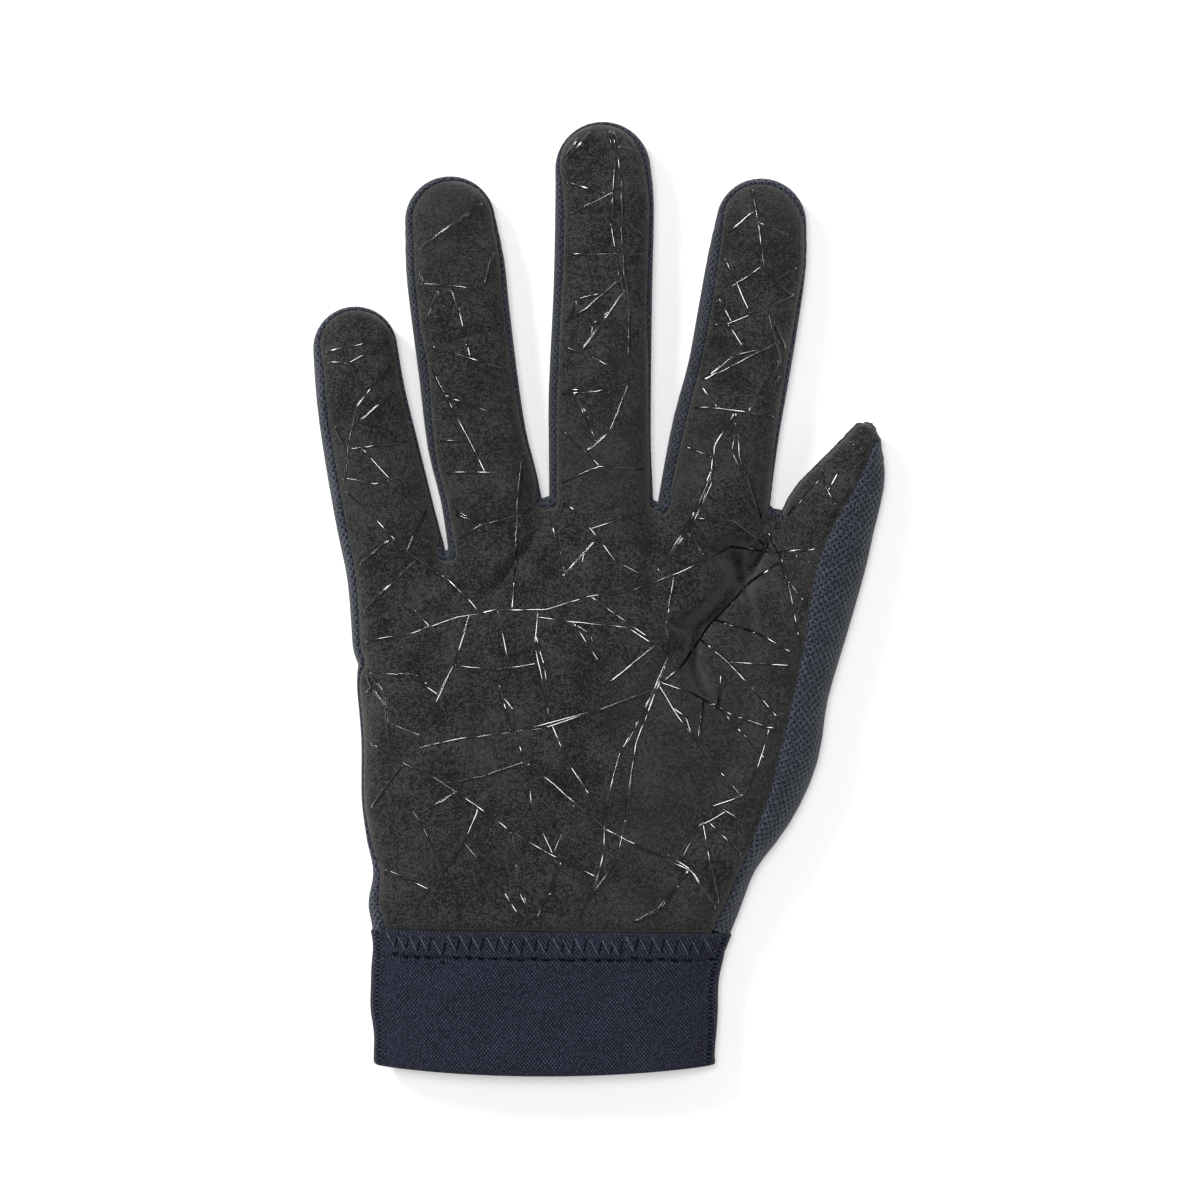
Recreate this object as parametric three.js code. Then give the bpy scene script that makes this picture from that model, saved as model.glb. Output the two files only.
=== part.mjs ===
// A full-finger sport glove for the right hand, lying on its back with the palm up.
// Millimetres, +Z up out of the palm, +Y towards the fingertips, +X towards the thumb.
//
// The glove's outer skin is one smooth field over the plane: each finger, the thumb and the hand
// add a rounded mound, and where the field is above zero there is glove. The palm side stands
// the square root of the field above the widest line, and the back side as far below it, down to
// the surface that the glove lies on. Each cloth panel is a sheet on that skin, one wall thick,
// that ends at its seams, so the glove is hollow and open at the wrist.
import * as THREE from "three";

// Driving dimensions
const clothWall = 1.25; // suede and mesh, with their backing
const cuffWall = 2.0; // doubled elastic knit
const widestHeight = 6; // height of the glove's widest line above the surface it lies on
const seamGap = 0.6; // between neighbouring panels
const centreShift = { x: 0.01, y: 0.13 }; // brings the middle of the glove's outline to the origin

// Seams, seen from above
const palmInset = 1.4; // palm panel's edge inside the glove's outline
const palmInsetSkew = 0.7; // wider on the little finger's side, narrower on the thumb's
const backInset = 3.4; // lower edge of the side strips inside the outline
const tipBand = 3; // the side strips end this far from the middle of each fingertip
const widestBand = 20; // no band of mesh is wider than this on the palm side
const cuffSeam = { y: -77.6, slope: -0.012 }; // where the palm and back panels end on the cuff
const cuffGap = 0.8;
const cuffProud = 0.5; // the cuff's knit stands this far above the palm at the seam

// Meshes of the skin
const gridEdge = { x0: -72, x1: 72, y1: 116 }; // all outside the glove
const palmCell = { x: 3.5, y: 7, crotchY: 3.5 };
const backCell = { x: 4.8, y: 10, crotchY: 4.5 };
const outlineCell = { x: 2.4, y: 3.2, crotchY: 2 };
const crotches = { y0: 6, y1: 30 }; // where the grids have closer rows
const snap = 0.3; // grid points are drawn onto a contour from this share of a cell's width
const edgeSag = 0.12; // an edge that leaves its contour by more than this is halved
const outlineInset = 1.3; // the outline is found this far in, where the fingers are well apart
const outlineTurn = 7; // degrees that the outline may turn between two of its points
const outlineStep = 6.5; // and how far apart they may be
const sideDepths = [1.5, 0.4]; // rows of a side strip on the back, by depth inside the outline
const sideShares = [0.12, 0.45, 1]; // rows on the palm side, from the outline to the palm panel

// The hand without its fingers, a row for each level: left and right edge, and the rise of the
// palm above the widest line
const hand = rows("y left right rise", [
  [-112, -52.4, 27.0, 8.0],
  [-94.5, -53.1, 27.3, 8.2],
  [-82.5, -53.0, 29.0, 8.4],
  [-77.5, -53.3, 31.0, 8.7],
  [-71.9, -54.2, 33.4, 9.2],
  [-64.4, -53.1, 35.6, 9.9],
  [-56.9, -54.6, 36.8, 10.6],
  [-47.5, -55.8, 38.6, 11.2],
  [-33.4, -55.9, 41.0, 11.8],
  [-19.3, -57.1, 42.6, 11.8],
  [-5.2, -58.3, 43.2, 11.2],
  [8.9, -60.0, 42.4, 10.2],
  [23.0, -60.0, 41.0, 9.2],
]);
const palmSquareness = 3; // power of the palm's cross-section, 2 for an ellipse
const knuckles = { y: 26, x: 1.5, spread: 82, drop: 15.2, roll: 34 }; // the arched line where the hand ends

// Each finger's middle line from tip to hand, a row for each section; the web joins the
// thumb's root to the hand
const fingers = {
  little: rows("x y radius rise", [
    [-57.3, 58.5, 9.9, 6.4],
    [-55.9, 47.0, 10.5, 6.7],
    [-53.3, 33.4, 11.2, 7.0],
    [-50.1, 18.3, 11.7, 7.4],
    [-47.2, 5.4, 12.0, 7.9],
    [-45.8, -9.9, 12.2, 8.4],
  ]),
  ring: rows("x y radius rise", [
    [-35.0, 88.4, 10.6, 6.6],
    [-33.8, 78.0, 11.6, 7.0],
    [-32.7, 67.7, 11.6, 7.1],
    [-30.8, 52.6, 11.5, 7.2],
    [-28.7, 37.1, 11.7, 7.5],
    [-26.3, 25.4, 12.0, 7.9],
    [-24.0, 12.5, 12.0, 8.3],
    [-22.1, -2.8, 11.8, 8.6],
  ]),
  middle: rows("x y radius rise", [
    [0.9, 100.6, 11.2, 6.8],
    [1.3, 92.1, 11.6, 7.1],
    [0.9, 72.4, 11.6, 7.3],
    [0.2, 48.9, 12.0, 7.5],
    [0.2, 34.8, 12.0, 7.8],
    [0.5, 23.0, 12.2, 8.1],
    [0.5, 11.3, 12.2, 8.4],
    [0.2, -2.8, 11.8, 8.6],
  ]),
  index: rows("x y radius rise", [
    [38.1, 87.9, 10.6, 6.7],
    [37.1, 79.0, 11.6, 7.1],
    [35.0, 65.8, 11.9, 7.3],
    [32.7, 52.6, 12.0, 7.5],
    [29.8, 39.5, 12.6, 7.8],
    [27.5, 25.4, 13.0, 8.1],
    [25.9, 12.5, 13.4, 8.5],
    [24.4, -0.5, 13.2, 8.8],
  ]),
  thumb: rows("x y radius rise", [
    [62.4, 37.7, 3.8, 4.4],
    [59.7, 29.4, 7.5, 6.4],
    [57.0, 24.0, 9.4, 7.5],
    [53.9, 18.0, 11.0, 8.5],
    [51.2, 8.9, 11.6, 9.3],
    [47.6, -5.2, 11.2, 10.0],
    [43.2, -21.6, 10.8, 10.6],
    [40.6, -35.7, 11.1, 10.8],
    [35.4, -47.5, 10.9, 10.2],
    [28.2, -59.2, 9.8, 9.6],
    [23.9, -71.0, 9.4, 9.0],
    [20.2, -82.7, 8.5, 8.4],
  ]),
  web: rows("x y radius rise", [
    [38.8, 5.0, 7.5, 5.0],
    [38.0, -4.0, 10.0, 7.5],
    [36.0, -20.0, 13.0, 9.0],
  ]),
};
const finerAxis = 3; // sections worked out between two rows of a finger's table
const blend = 3; // power of the sum that joins fingers and hand: lower is softer

// The seam between suede and mesh along the thumb and down to the cuff, seen from above
const thumbSeam = rows("y x", [
  [-90, 25.0],
  [-78, 26.6],
  [-70, 30.2],
  [-61, 34.2],
  [-47, 39.4],
  [-30, 43.6],
  [-14, 47.2],
  [0, 49.4],
  [9, 51.4],
  [18, 55.4],
  [28, 61.0],
  [37, 64.4],
  [44, 65.8],
]);

// The main folds of the palm: a groove (or a ridge, where depth is below zero) for each row
const foldFade = 5; // folds reach their full depth where the palm has risen by this much
const folds = rows("x y turn length width depth", [
  [26.5, 6.0, 40, 9, 4.8, 3.4], // hollow beside the thumb's crotch
  [28.5, -2.5, 35, 8, 4.5, -1.2], // ridge below the hollow
  [23.0, -25.0, -80, 16, 5.0, 1.0], // dip down the root of the thumb
  [14.5, -27.0, 55, 20, 7.0, 1.2], // broad dip in the middle of the palm
  [-28.0, -20.0, 50, 22, 6.0, 0.9], // broad dip towards the little finger
]);

function rows(names, values) {
  const keys = names.split(" ");
  return values.map((row) => Object.fromEntries(keys.map((key, i) => [key, row[i]])));
}

function clamp(value, low, high) {
  return Math.min(high, Math.max(low, value));
}

// A smooth curve through one column of a table, at a share t of the way from row i to row i + 1
function between(table, i, t, key) {
  const at = (n) => table[clamp(n, 0, table.length - 1)][key];
  const [a, b, c, d] = [at(i - 1), at(i), at(i + 1), at(i + 2)];
  return 0.5 * (2 * b + (c - a) * t + (2 * a - 5 * b + 4 * c - d) * t * t + (3 * b - a - 3 * c + d) * t ** 3);
}

// The columns of a table that is ordered by y, at one y
function atLevel(table, y) {
  const level = clamp(y, table[0].y, table.at(-1).y);
  const next = table.findIndex((row, n) => n > 0 && row.y >= level);
  const i = next - 1;
  const t = (level - table[i].y) / (table[next].y - table[i].y);
  const made = {};
  for (const key of Object.keys(table[i])) made[key] = between(table, i, t, key);
  return made;
}

// A finger's table with more sections between its rows
function refined(axis) {
  const made = [];
  for (let i = 0; i + 1 < axis.length; i++) {
    for (let n = 0; n < finerAxis; n++) {
      const section = {};
      for (const key of Object.keys(axis[i])) section[key] = between(axis, i, n / finerAxis, key);
      made.push(section);
    }
  }
  made.push(axis.at(-1));
  return made;
}

const limbs = Object.values(fingers).map(refined);

// A tube round a finger's middle line: rise squared on the line, zero at the radius
function tubeField(axis, x, y) {
  let best = -Infinity;
  for (let i = 0; i + 1 < axis.length; i++) {
    const a = axis[i];
    const b = axis[i + 1];
    const dx = b.x - a.x;
    const dy = b.y - a.y;
    const t = clamp(((x - a.x) * dx + (y - a.y) * dy) / (dx * dx + dy * dy), 0, 1);
    const away = Math.hypot(x - a.x - t * dx, y - a.y - t * dy);
    const radius = a.radius + t * (b.radius - a.radius);
    const rise = a.rise + t * (b.rise - a.rise);
    best = Math.max(best, rise ** 2 * (1 - (away / radius) ** 2));
  }
  return best;
}

// The hand: a flat-topped mound between its left and right edge that rolls off at the knuckles
function handField(x, y) {
  const row = atLevel(hand, y);
  const across = (2 * x - row.left - row.right) / (row.right - row.left);
  const bow = (x - knuckles.x) ** 2 / knuckles.spread;
  const knuckleLine = knuckles.y - knuckles.drop * Math.tanh(bow / knuckles.drop);
  const t = Math.min(1, (knuckleLine - y) / knuckles.roll);
  return row.rise ** 2 * (t * (2 - t) - Math.abs(across) ** palmSquareness);
}

function field(x, y) {
  const values = [handField(x, y), ...limbs.map((axis) => tubeField(axis, x, y))];
  const highest = Math.max(...values);
  if (highest <= 0) return highest;
  const sum = values.reduce((total, value) => total + Math.max(value, 0) ** blend, 0);
  return sum ** (1 / blend);
}

function slope(level, x, y) {
  const step = 0.05;
  return {
    x: (level(x + step, y) - level(x - step, y)) / (2 * step),
    y: (level(x, y + step) - level(x, y - step)) / (2 * step),
  };
}

// How far a point lies inside the glove's outline, true near the outline
function depth(x, y) {
  const g = slope(field, x, y);
  return field(x, y) / Math.max(Math.hypot(g.x, g.y), 0.02);
}

// The folds' effect on the height of the palm side: it fades out towards the outline
function foldHeight(x, y) {
  let height = 0;
  for (const fold of folds) {
    const turn = THREE.MathUtils.degToRad(fold.turn);
    const along = (x - fold.x) * Math.cos(turn) + (y - fold.y) * Math.sin(turn);
    const aside = (y - fold.y) * Math.cos(turn) - (x - fold.x) * Math.sin(turn);
    height -= fold.depth * Math.exp(-((along / fold.length) ** 4) - (aside / fold.width) ** 2);
  }
  return height * clamp(Math.sqrt(Math.max(field(x, y), 0)) / foldFade, 0, 1);
}

// The outer skin on the palm side (side 1) or the back side (side -1): its height and normal
function skin(x, y, side) {
  const rise = Math.sqrt(Math.max(field(x, y), 0));
  const g = slope(field, x, y);
  if (side < 0) {
    const height = widestHeight - rise;
    const flat = height <= 0;
    const normal = flat ? [0, 0, -1] : [-g.x, -g.y, -2 * rise];
    return { z: Math.max(height, 0), normal: new THREE.Vector3(...normal).normalize() };
  }
  const fold = slope(foldHeight, x, y);
  const normal = [-g.x - 2 * rise * fold.x, -g.y - 2 * rise * fold.y, 2 * rise];
  return { z: widestHeight + rise + foldHeight(x, y), normal: new THREE.Vector3(...normal).normalize() };
}

// Moves a point straight up or down the level's slope to where the level is zero
function toContour(level, x, y) {
  for (let n = 0; n < 4; n++) {
    const g = slope(level, x, y);
    const step = level(x, y) / Math.max(g.x ** 2 + g.y ** 2, 1e-4);
    x -= step * g.x;
    y -= step * g.y;
  }
  return { x, y };
}

// The point between two others where the level changes sign, found by halving
function crossingOf(level, a, b) {
  let [inside, outside] = level(a.x, a.y) > 0 ? [a, b] : [b, a];
  for (let n = 0; n < 10; n++) {
    const half = { x: (inside.x + outside.x) / 2, y: (inside.y + outside.y) / 2 };
    if (level(half.x, half.y) > 0) inside = half;
    else outside = half;
  }
  return inside;
}

// Triangles that fill the region where a level is above zero, and the region's boundary loops.
// The grid's first row lies on the cuff's seam. Grid points close to the contour are drawn onto
// it, and triangles that cross it are clipped.
function trimmedGrid(level, size) {
  const columns = Math.ceil((gridEdge.x1 - gridEdge.x0) / size.x);
  const heights = [0];
  while (cuffSeam.y + heights.at(-1) < gridEdge.y1) {
    const y = cuffSeam.y + heights.at(-1);
    const step = y > crotches.y0 && y < crotches.y1 ? size.crotchY : size.y;
    heights.push(heights.at(-1) + step);
  }
  const lines = heights.length - 1;
  const points = [];
  for (let j = 0; j <= lines; j++) {
    for (let i = 0; i <= columns; i++) {
      const x = gridEdge.x0 + i * size.x;
      const y = cuffLine(x) + heights[j];
      const here = { x, y, level: level(x, y) };
      const inGap = here.level < 0 && level(x - size.x, y) > 0 && level(x + size.x, y) > 0;
      const tried = Math.abs(here.level) < 2 * snap * size.x && !inGap;
      const moved = tried ? toContour(level, x, y) : null;
      const near = moved && Math.hypot(moved.x - x, moved.y - y) < snap * size.x;
      points.push(near ? { ...moved, level: 0 } : here);
    }
  }
  const crossings = new Map();
  const crossing = (a, b) => {
    const key = Math.min(a, b) + "," + Math.max(a, b);
    if (!crossings.has(key)) {
      points.push({ ...crossingOf(level, points[a], points[b]), level: 0 });
      crossings.set(key, points.length - 1);
    }
    return crossings.get(key);
  };
  const triangles = [];
  const addClipped = (corners) => {
    const kept = [];
    corners.forEach((a, n) => {
      const b = corners[(n + 1) % 3];
      if (points[a].level >= 0) kept.push(a);
      if (points[a].level * points[b].level < 0) kept.push(crossing(a, b));
    });
    if (kept.length < 3) return;
    const mean = (key) => kept.reduce((sum, n) => sum + points[n][key], 0) / kept.length;
    if (kept.every((n) => points[n].level === 0) && level(mean("x"), mean("y")) <= 0) return;
    for (let n = 1; n + 1 < kept.length; n++) triangles.push([kept[0], kept[n], kept[n + 1]]);
  };
  for (let j = 0; j < lines; j++) {
    for (let i = 0; i < columns; i++) {
      const a = j * (columns + 1) + i;
      const [b, c, d] = [a + 1, a + columns + 2, a + columns + 1];
      const split = (i + j) % 2 ? [[a, b, c], [a, c, d]] : [[a, b, d], [b, c, d]];
      split.forEach(addClipped);
    }
  }
  separateFans(points, triangles);
  const rounded = roundedEdges(level, points, roundedEdges(level, points, triangles));
  return { points, triangles: rounded, loops: boundaryLoops(rounded) };
}

// Halves the free edges that cut a curve short, and moves their middles onto the contour
function roundedEdges(level, points, triangles) {
  const free = freeEdges(triangles);
  const onContour = (a, b) => free.get(a) === b && points[a].level === 0 && points[b].level === 0;
  return triangles.flatMap((corners) => {
    const first = corners.findIndex((a, n) => onContour(a, corners[(n + 1) % 3]));
    if (first < 0) return [corners];
    const [a, b, c] = [0, 1, 2].map((n) => corners[(first + n) % 3]);
    const middle = { x: (points[a].x + points[b].x) / 2, y: (points[a].y + points[b].y) / 2 };
    const moved = toContour(level, middle.x, middle.y);
    if (Math.hypot(moved.x - middle.x, moved.y - middle.y) < edgeSag) return [corners];
    const m = points.push({ ...moved, level: 0 }) - 1;
    return [[a, m, c], [m, b, c]];
  });
}

// Where the region touches itself in a single point, each side gets a point of its own
function separateFans(points, triangles) {
  const around = new Map();
  for (const corners of triangles) {
    for (const n of corners) around.set(n, [...(around.get(n) ?? []), corners]);
  }
  for (const [n, fan] of around) {
    const rest = new Set(fan);
    let first = true;
    while (rest.size) {
      const group = [rest.values().next().value];
      rest.delete(group[0]);
      for (const corners of group) {
        for (const other of rest) {
          if (other.filter((m) => corners.includes(m)).length < 2) continue;
          group.push(other);
          rest.delete(other);
        }
      }
      if (!first) {
        points.push({ ...points[n] });
        for (const corners of group) corners[corners.indexOf(n)] = points.length - 1;
      }
      first = false;
    }
  }
}

// The free edges of a set of triangles, as a map from each edge's start to its end
function freeEdges(triangles) {
  const edges = new Set();
  for (const corners of triangles) corners.forEach((a, n) => edges.add(a + ">" + corners[(n + 1) % 3]));
  const follow = new Map();
  for (const edge of edges) {
    const [a, b] = edge.split(">").map(Number);
    if (!edges.has(b + ">" + a)) follow.set(a, b);
  }
  return follow;
}

function boundaryLoops(triangles) {
  const follow = freeEdges(triangles);
  const loops = [];
  while (follow.size) {
    const loop = [];
    let at = follow.keys().next().value;
    while (follow.has(at)) {
      loop.push(at);
      const to = follow.get(at);
      follow.delete(at);
      at = to;
    }
    loops.push(loop);
  }
  return loops.sort((a, b) => b.length - a.length);
}

// A closed sheet from corners that each have a place outside and a place inside
function thickened(corners, triangles) {
  const used = [...new Set(triangles.flat())];
  const numbers = new Map(used.map((n, i) => [n, 2 * i]));
  const vertices = used.flatMap((n) => [...corners[n].outside, ...corners[n].inside]);
  const faces = [];
  for (const [a, b, c] of triangles.map((corner) => corner.map((n) => numbers.get(n)))) {
    faces.push(a, b, c, c + 1, b + 1, a + 1);
  }
  for (const [from, to] of freeEdges(triangles)) {
    const [a, b] = [numbers.get(from), numbers.get(to)];
    faces.push(b, a, a + 1, b, a + 1, b + 1);
  }
  const geometry = new THREE.BufferGeometry();
  geometry.setAttribute("position", new THREE.Float32BufferAttribute(vertices, 3));
  geometry.setIndex(faces);
  geometry.computeVertexNormals();
  return geometry;
}

// A sheet of cloth on the skin, from points seen from above and the side each one is on
function clothSheet(points, triangles) {
  const corners = points.map(({ x, y, side }) => {
    const { z, normal } = skin(x, y, side);
    const inside = [x - clothWall * normal.x, y - clothWall * normal.y, z - clothWall * normal.z];
    return { outside: [x, y, z], inside };
  });
  return thickened(corners, triangles);
}

function cuffLine(x) {
  return cuffSeam.y + cuffSeam.slope * (x + 55);
}

// Where the palm panel lies, seen from above; grow moves its edge outwards
function palmLevel(grow) {
  return (x, y) => {
    const g = slope(field, x, y);
    const outwards = -g.x / Math.max(Math.hypot(g.x, g.y), 1e-6);
    const edge = depth(x, y) - (palmInset - palmInsetSkew * outwards) + grow;
    return Math.min(edge, atLevel(thumbSeam, y).x - x + grow);
  };
}

function palmPanel() {
  const { points, triangles } = trimmedGrid(palmLevel(0), palmCell);
  return clothSheet(points.map(({ x, y }) => ({ x, y, side: 1 })), triangles);
}

// The rows of a side strip on the palm side, from a point on the outline to the palm panel
function rowsToPalm(start) {
  const level = palmLevel(seamGap);
  const g = slope(field, start.x, start.y);
  const size = Math.hypot(g.x, g.y);
  const at = (away) => aboveCuff(start.x + (away * g.x) / size, start.y + (away * g.y) / size, 1);
  let away = 0.1;
  while (level(at(away).x, at(away).y) < 0 && away < widestBand) away += 0.3;
  const end = crossingOf(level, at(away), start);
  const length = Math.hypot(end.x - start.x, end.y - start.y);
  return sideShares.map((share) => at(share * length));
}

// The point at a depth inside the outline, on the back
function onBack(start, inset) {
  const { x, y } = toContour((x, y) => depth(x, y) - inset, start.x, start.y);
  return aboveCuff(x, y, -1);
}

function aboveCuff(x, y, side) {
  return { x, y: Math.max(y, cuffLine(x)), side };
}

// Side strips run between these fingers
const neighbours = [["little", "ring"], ["ring", "middle"], ["middle", "index"]];

// Which side strip covers a point of the outline, or -1 where the back panel comes round it
function stripAt({ x, y }) {
  const axisX = (name) => atLevel([...fingers[name]].reverse(), y).x;
  return neighbours.findIndex(
    ([left, right]) => y > 0 && x > axisX(left) + tipBand && x < axisX(right) - tipBand,
  );
}

// The back panel: the back itself, and bands that come round the outline to the palm panel
// wherever there is no side strip
function backPanel() {
  const inset = backInset + seamGap / 2;
  const { points, triangles, loops } = trimmedGrid((x, y) => depth(x, y) - inset, backCell);
  const cloth = points.map(({ x, y }) => ({ x, y, side: -1 }));
  const faces = triangles.map(([a, b, c]) => [c, b, a]);
  const bands = loops[0].map((n) => {
    if (Math.abs(depth(cloth[n].x, cloth[n].y) - inset) > 0.3) return null;
    const rim = sideDepths.map((rimDepth) => onBack(cloth[n], rimDepth));
    const start = onBack(rim.at(-1), 0);
    if (stripAt(start) >= 0) return null;
    const band = [...rim, start, ...rowsToPalm(start)];
    cloth.push(...band);
    return { start, numbers: [n, ...band.map((_, i) => cloth.length - band.length + i)] };
  });
  bands.forEach((band, i) => {
    const next = bands[(i + 1) % bands.length];
    if (!band || !next) return;
    for (let row = 0; row + 1 < band.numbers.length; row++) {
      const [a, b] = [band.numbers[row], next.numbers[row]];
      const [c, d] = [next.numbers[row + 1], band.numbers[row + 1]];
      faces.push([c, d, a], [b, c, a]);
    }
  });
  return { geometry: clothSheet(cloth, faces), starts: bands.filter(Boolean).map((band) => band.start) };
}

// The glove's outline, thinned to the points that its shape needs
function outlinePoints() {
  const { points, loops } = trimmedGrid((x, y) => depth(x, y) - outlineInset, outlineCell);
  const loop = loops[0].map((n) => toContour(depth, points[n].x, points[n].y));
  const heading = (a, b) => Math.atan2(b.y - a.y, b.x - a.x);
  const kept = [loop[0]];
  for (let n = 1; n + 1 < loop.length; n++) {
    const last = kept.at(-1);
    const turn = Math.abs(heading(loop[n], loop[n + 1]) - heading(last, loop[n])) % (2 * Math.PI);
    const bent = Math.min(turn, 2 * Math.PI - turn) > THREE.MathUtils.degToRad(outlineTurn);
    const length = Math.hypot(loop[n].x - last.x, loop[n].y - last.y);
    if ((bent && length > 1) || length > outlineStep) kept.push(loop[n]);
  }
  return kept;
}

// A side strip between two fingers, from one fingertip round the crotch to the other
function sideStrip(index, outline, bandStarts) {
  const clear = (p) => bandStarts.every((q) => Math.hypot(p.x - q.x, p.y - q.y) > seamGap);
  const stations = outline.filter((p) => stripAt(p) === index && clear(p));
  const cloth = [];
  const faces = [];
  const width = sideShares.length + sideDepths.length + 2;
  stations.forEach((start, n) => {
    const rim = [...sideDepths].reverse().map((rimDepth) => onBack(start, rimDepth));
    const lower = onBack(rim.at(-1), backInset - seamGap / 2);
    cloth.push(...rowsToPalm(start).reverse(), { ...start, side: 1 }, ...rim, lower);
    if (n === 0) return;
    for (let row = 0; row + 1 < width; row++) {
      const a = (n - 1) * width + row;
      const b = n * width + row;
      faces.push([a, a + 1, b + 1], [a, b + 1, b]);
    }
  });
  return clothSheet(cloth, faces);
}

// One half of the cuff: rows along the arm, each an arc of the flattened tube between two turns
const cuffRows = 5;
const cuffSteps = 16;
const cuffSideSeam = 15; // degrees from the widest line up to the side seams
const cuffSeamHalf = 0.4; // half the gap in the side seams, in degrees
const hemSag = 2.2; // the hem's middle hangs this far below its corners
const flatness = 0.8; // spreads the arc's points towards the cuff's edges, below 1

function cuffHalf(fromTurn, toTurn) {
  const place = (row, step, wall) => {
    const turn = THREE.MathUtils.degToRad(fromTurn + (step / cuffSteps) * (toTurn - fromTurn));
    const across = Math.sign(Math.cos(turn)) * Math.abs(Math.cos(turn)) ** flatness;
    const up = Math.sign(Math.sin(turn)) * Math.sqrt(1 - Math.abs(across) ** palmSquareness);
    const t = row / cuffRows;
    const section = atLevel(hand, hand[0].y + (cuffSeam.y - hand[0].y) * t);
    const halfWidth = (section.right - section.left) / 2 + cuffProud - wall;
    const x = (section.left + section.right) / 2 + halfWidth * across;
    const hem = hand[0].y + hemSag * across ** 2;
    const y = hem + (cuffLine(x) - cuffGap - hem) * t;
    const z = widestHeight + (section.rise + cuffProud - wall) * up;
    return [x, y, Math.max(z, wall)];
  };
  const corners = [];
  const faces = [];
  for (let row = 0; row <= cuffRows; row++) {
    for (let step = 0; step <= cuffSteps; step++) {
      corners.push({ outside: place(row, step, 0), inside: place(row, step, cuffWall) });
      if (row === 0 || step === 0) continue;
      const d = corners.length - 1;
      const [a, b, c] = [d - cuffSteps - 2, d - cuffSteps - 1, d - 1];
      faces.push([a, c, d], [a, d, b]);
    }
  }
  return thickened(corners, faces);
}

// Materials
const suede = new THREE.MeshStandardMaterial({ color: 0x353432, roughness: 0.95, metalness: 0 });
const meshKnit = new THREE.MeshStandardMaterial({ color: 0x3b3e4a, roughness: 0.85, metalness: 0 });
const cuffKnit = new THREE.MeshStandardMaterial({ color: 0x30323f, roughness: 0.9, metalness: 0 });

const glove = new THREE.Group();
glove.position.set(centreShift.x, centreShift.y, 0);

function addPiece(name, geometry, material) {
  const mesh = new THREE.Mesh(geometry, material);
  mesh.name = name;
  glove.add(mesh);
}

addPiece("palm_panel", palmPanel(), suede);
const back = backPanel();
addPiece("back_panel", back.geometry, meshKnit);
const outline = outlinePoints();
neighbours.forEach(([left, right], index) => {
  addPiece(`fourchette_${left}_${right}`, sideStrip(index, outline, back.starts), meshKnit);
});
const [seamStart, seamEnd] = [cuffSideSeam + cuffSeamHalf, 180 - cuffSideSeam - cuffSeamHalf];
addPiece("cuff_palm", cuffHalf(seamStart, seamEnd), cuffKnit);
addPiece("cuff_back", cuffHalf(seamEnd + 2 * cuffSeamHalf, 360 + seamStart - 2 * cuffSeamHalf), cuffKnit);

export default glove;
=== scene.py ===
import math

import bpy
import numpy as np
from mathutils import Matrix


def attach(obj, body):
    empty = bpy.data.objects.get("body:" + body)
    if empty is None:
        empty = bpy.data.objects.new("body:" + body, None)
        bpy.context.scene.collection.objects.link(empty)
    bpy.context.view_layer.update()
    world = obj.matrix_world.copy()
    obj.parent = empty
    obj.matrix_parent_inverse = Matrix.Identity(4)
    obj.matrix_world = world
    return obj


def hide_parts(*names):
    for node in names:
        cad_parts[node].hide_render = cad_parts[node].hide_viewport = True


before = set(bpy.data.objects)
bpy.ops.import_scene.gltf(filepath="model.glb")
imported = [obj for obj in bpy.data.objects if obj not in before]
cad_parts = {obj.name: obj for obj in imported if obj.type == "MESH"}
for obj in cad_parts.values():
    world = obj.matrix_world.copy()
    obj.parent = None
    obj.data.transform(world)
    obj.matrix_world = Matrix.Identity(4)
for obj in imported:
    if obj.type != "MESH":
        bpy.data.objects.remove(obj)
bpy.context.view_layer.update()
scene = bpy.context.scene
print("frame loaded")

# The glove's skin: the surface that the cloth panels lie on
skin = {
    "centreShift": (0.01, 0.13),
    "widestHeight": 6.0,  # height of the glove's widest line above the floor
    "palmSquareness": 3.0,
    "blend": 3.0,
    "finerAxis": 3,
    "knuckleY": 26.0,
    "knuckleX": 1.5,
    "knuckleSpread": 82.0,
    "knuckleDrop": 15.2,
    "knuckleRoll": 34.0,
    "cuffSeamY": -77.6,
    "cuffSeamSlope": -0.012,
    "underCuff": 0.9,  # suede and mesh run this far on into the cuff's wall
    "cuffProud": 0.5,
    "cornerRound": 0.6,
    "gridHalf": 72,  # half the width of the grid that the cloth is cut from
    "gridLength": 196,
}

# y, left edge, right edge, rise of the palm above the widest line
handRows = np.array([
    (-112, -52.4, 27.0, 8.0),
    (-94.5, -53.1, 27.3, 8.2),
    (-82.5, -53.0, 29.0, 8.4),
    (-77.5, -53.3, 31.0, 8.7),
    (-71.9, -54.2, 33.4, 9.2),
    (-64.4, -53.1, 35.6, 9.9),
    (-56.9, -54.6, 36.8, 10.6),
    (-47.5, -55.8, 38.6, 11.2),
    (-33.4, -55.9, 41.0, 11.8),
    (-19.3, -57.1, 42.6, 11.8),
    (-5.2, -58.3, 43.2, 11.2),
    (8.9, -60.0, 42.4, 10.2),
    (23.0, -60.0, 41.0, 9.2),
])

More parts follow.
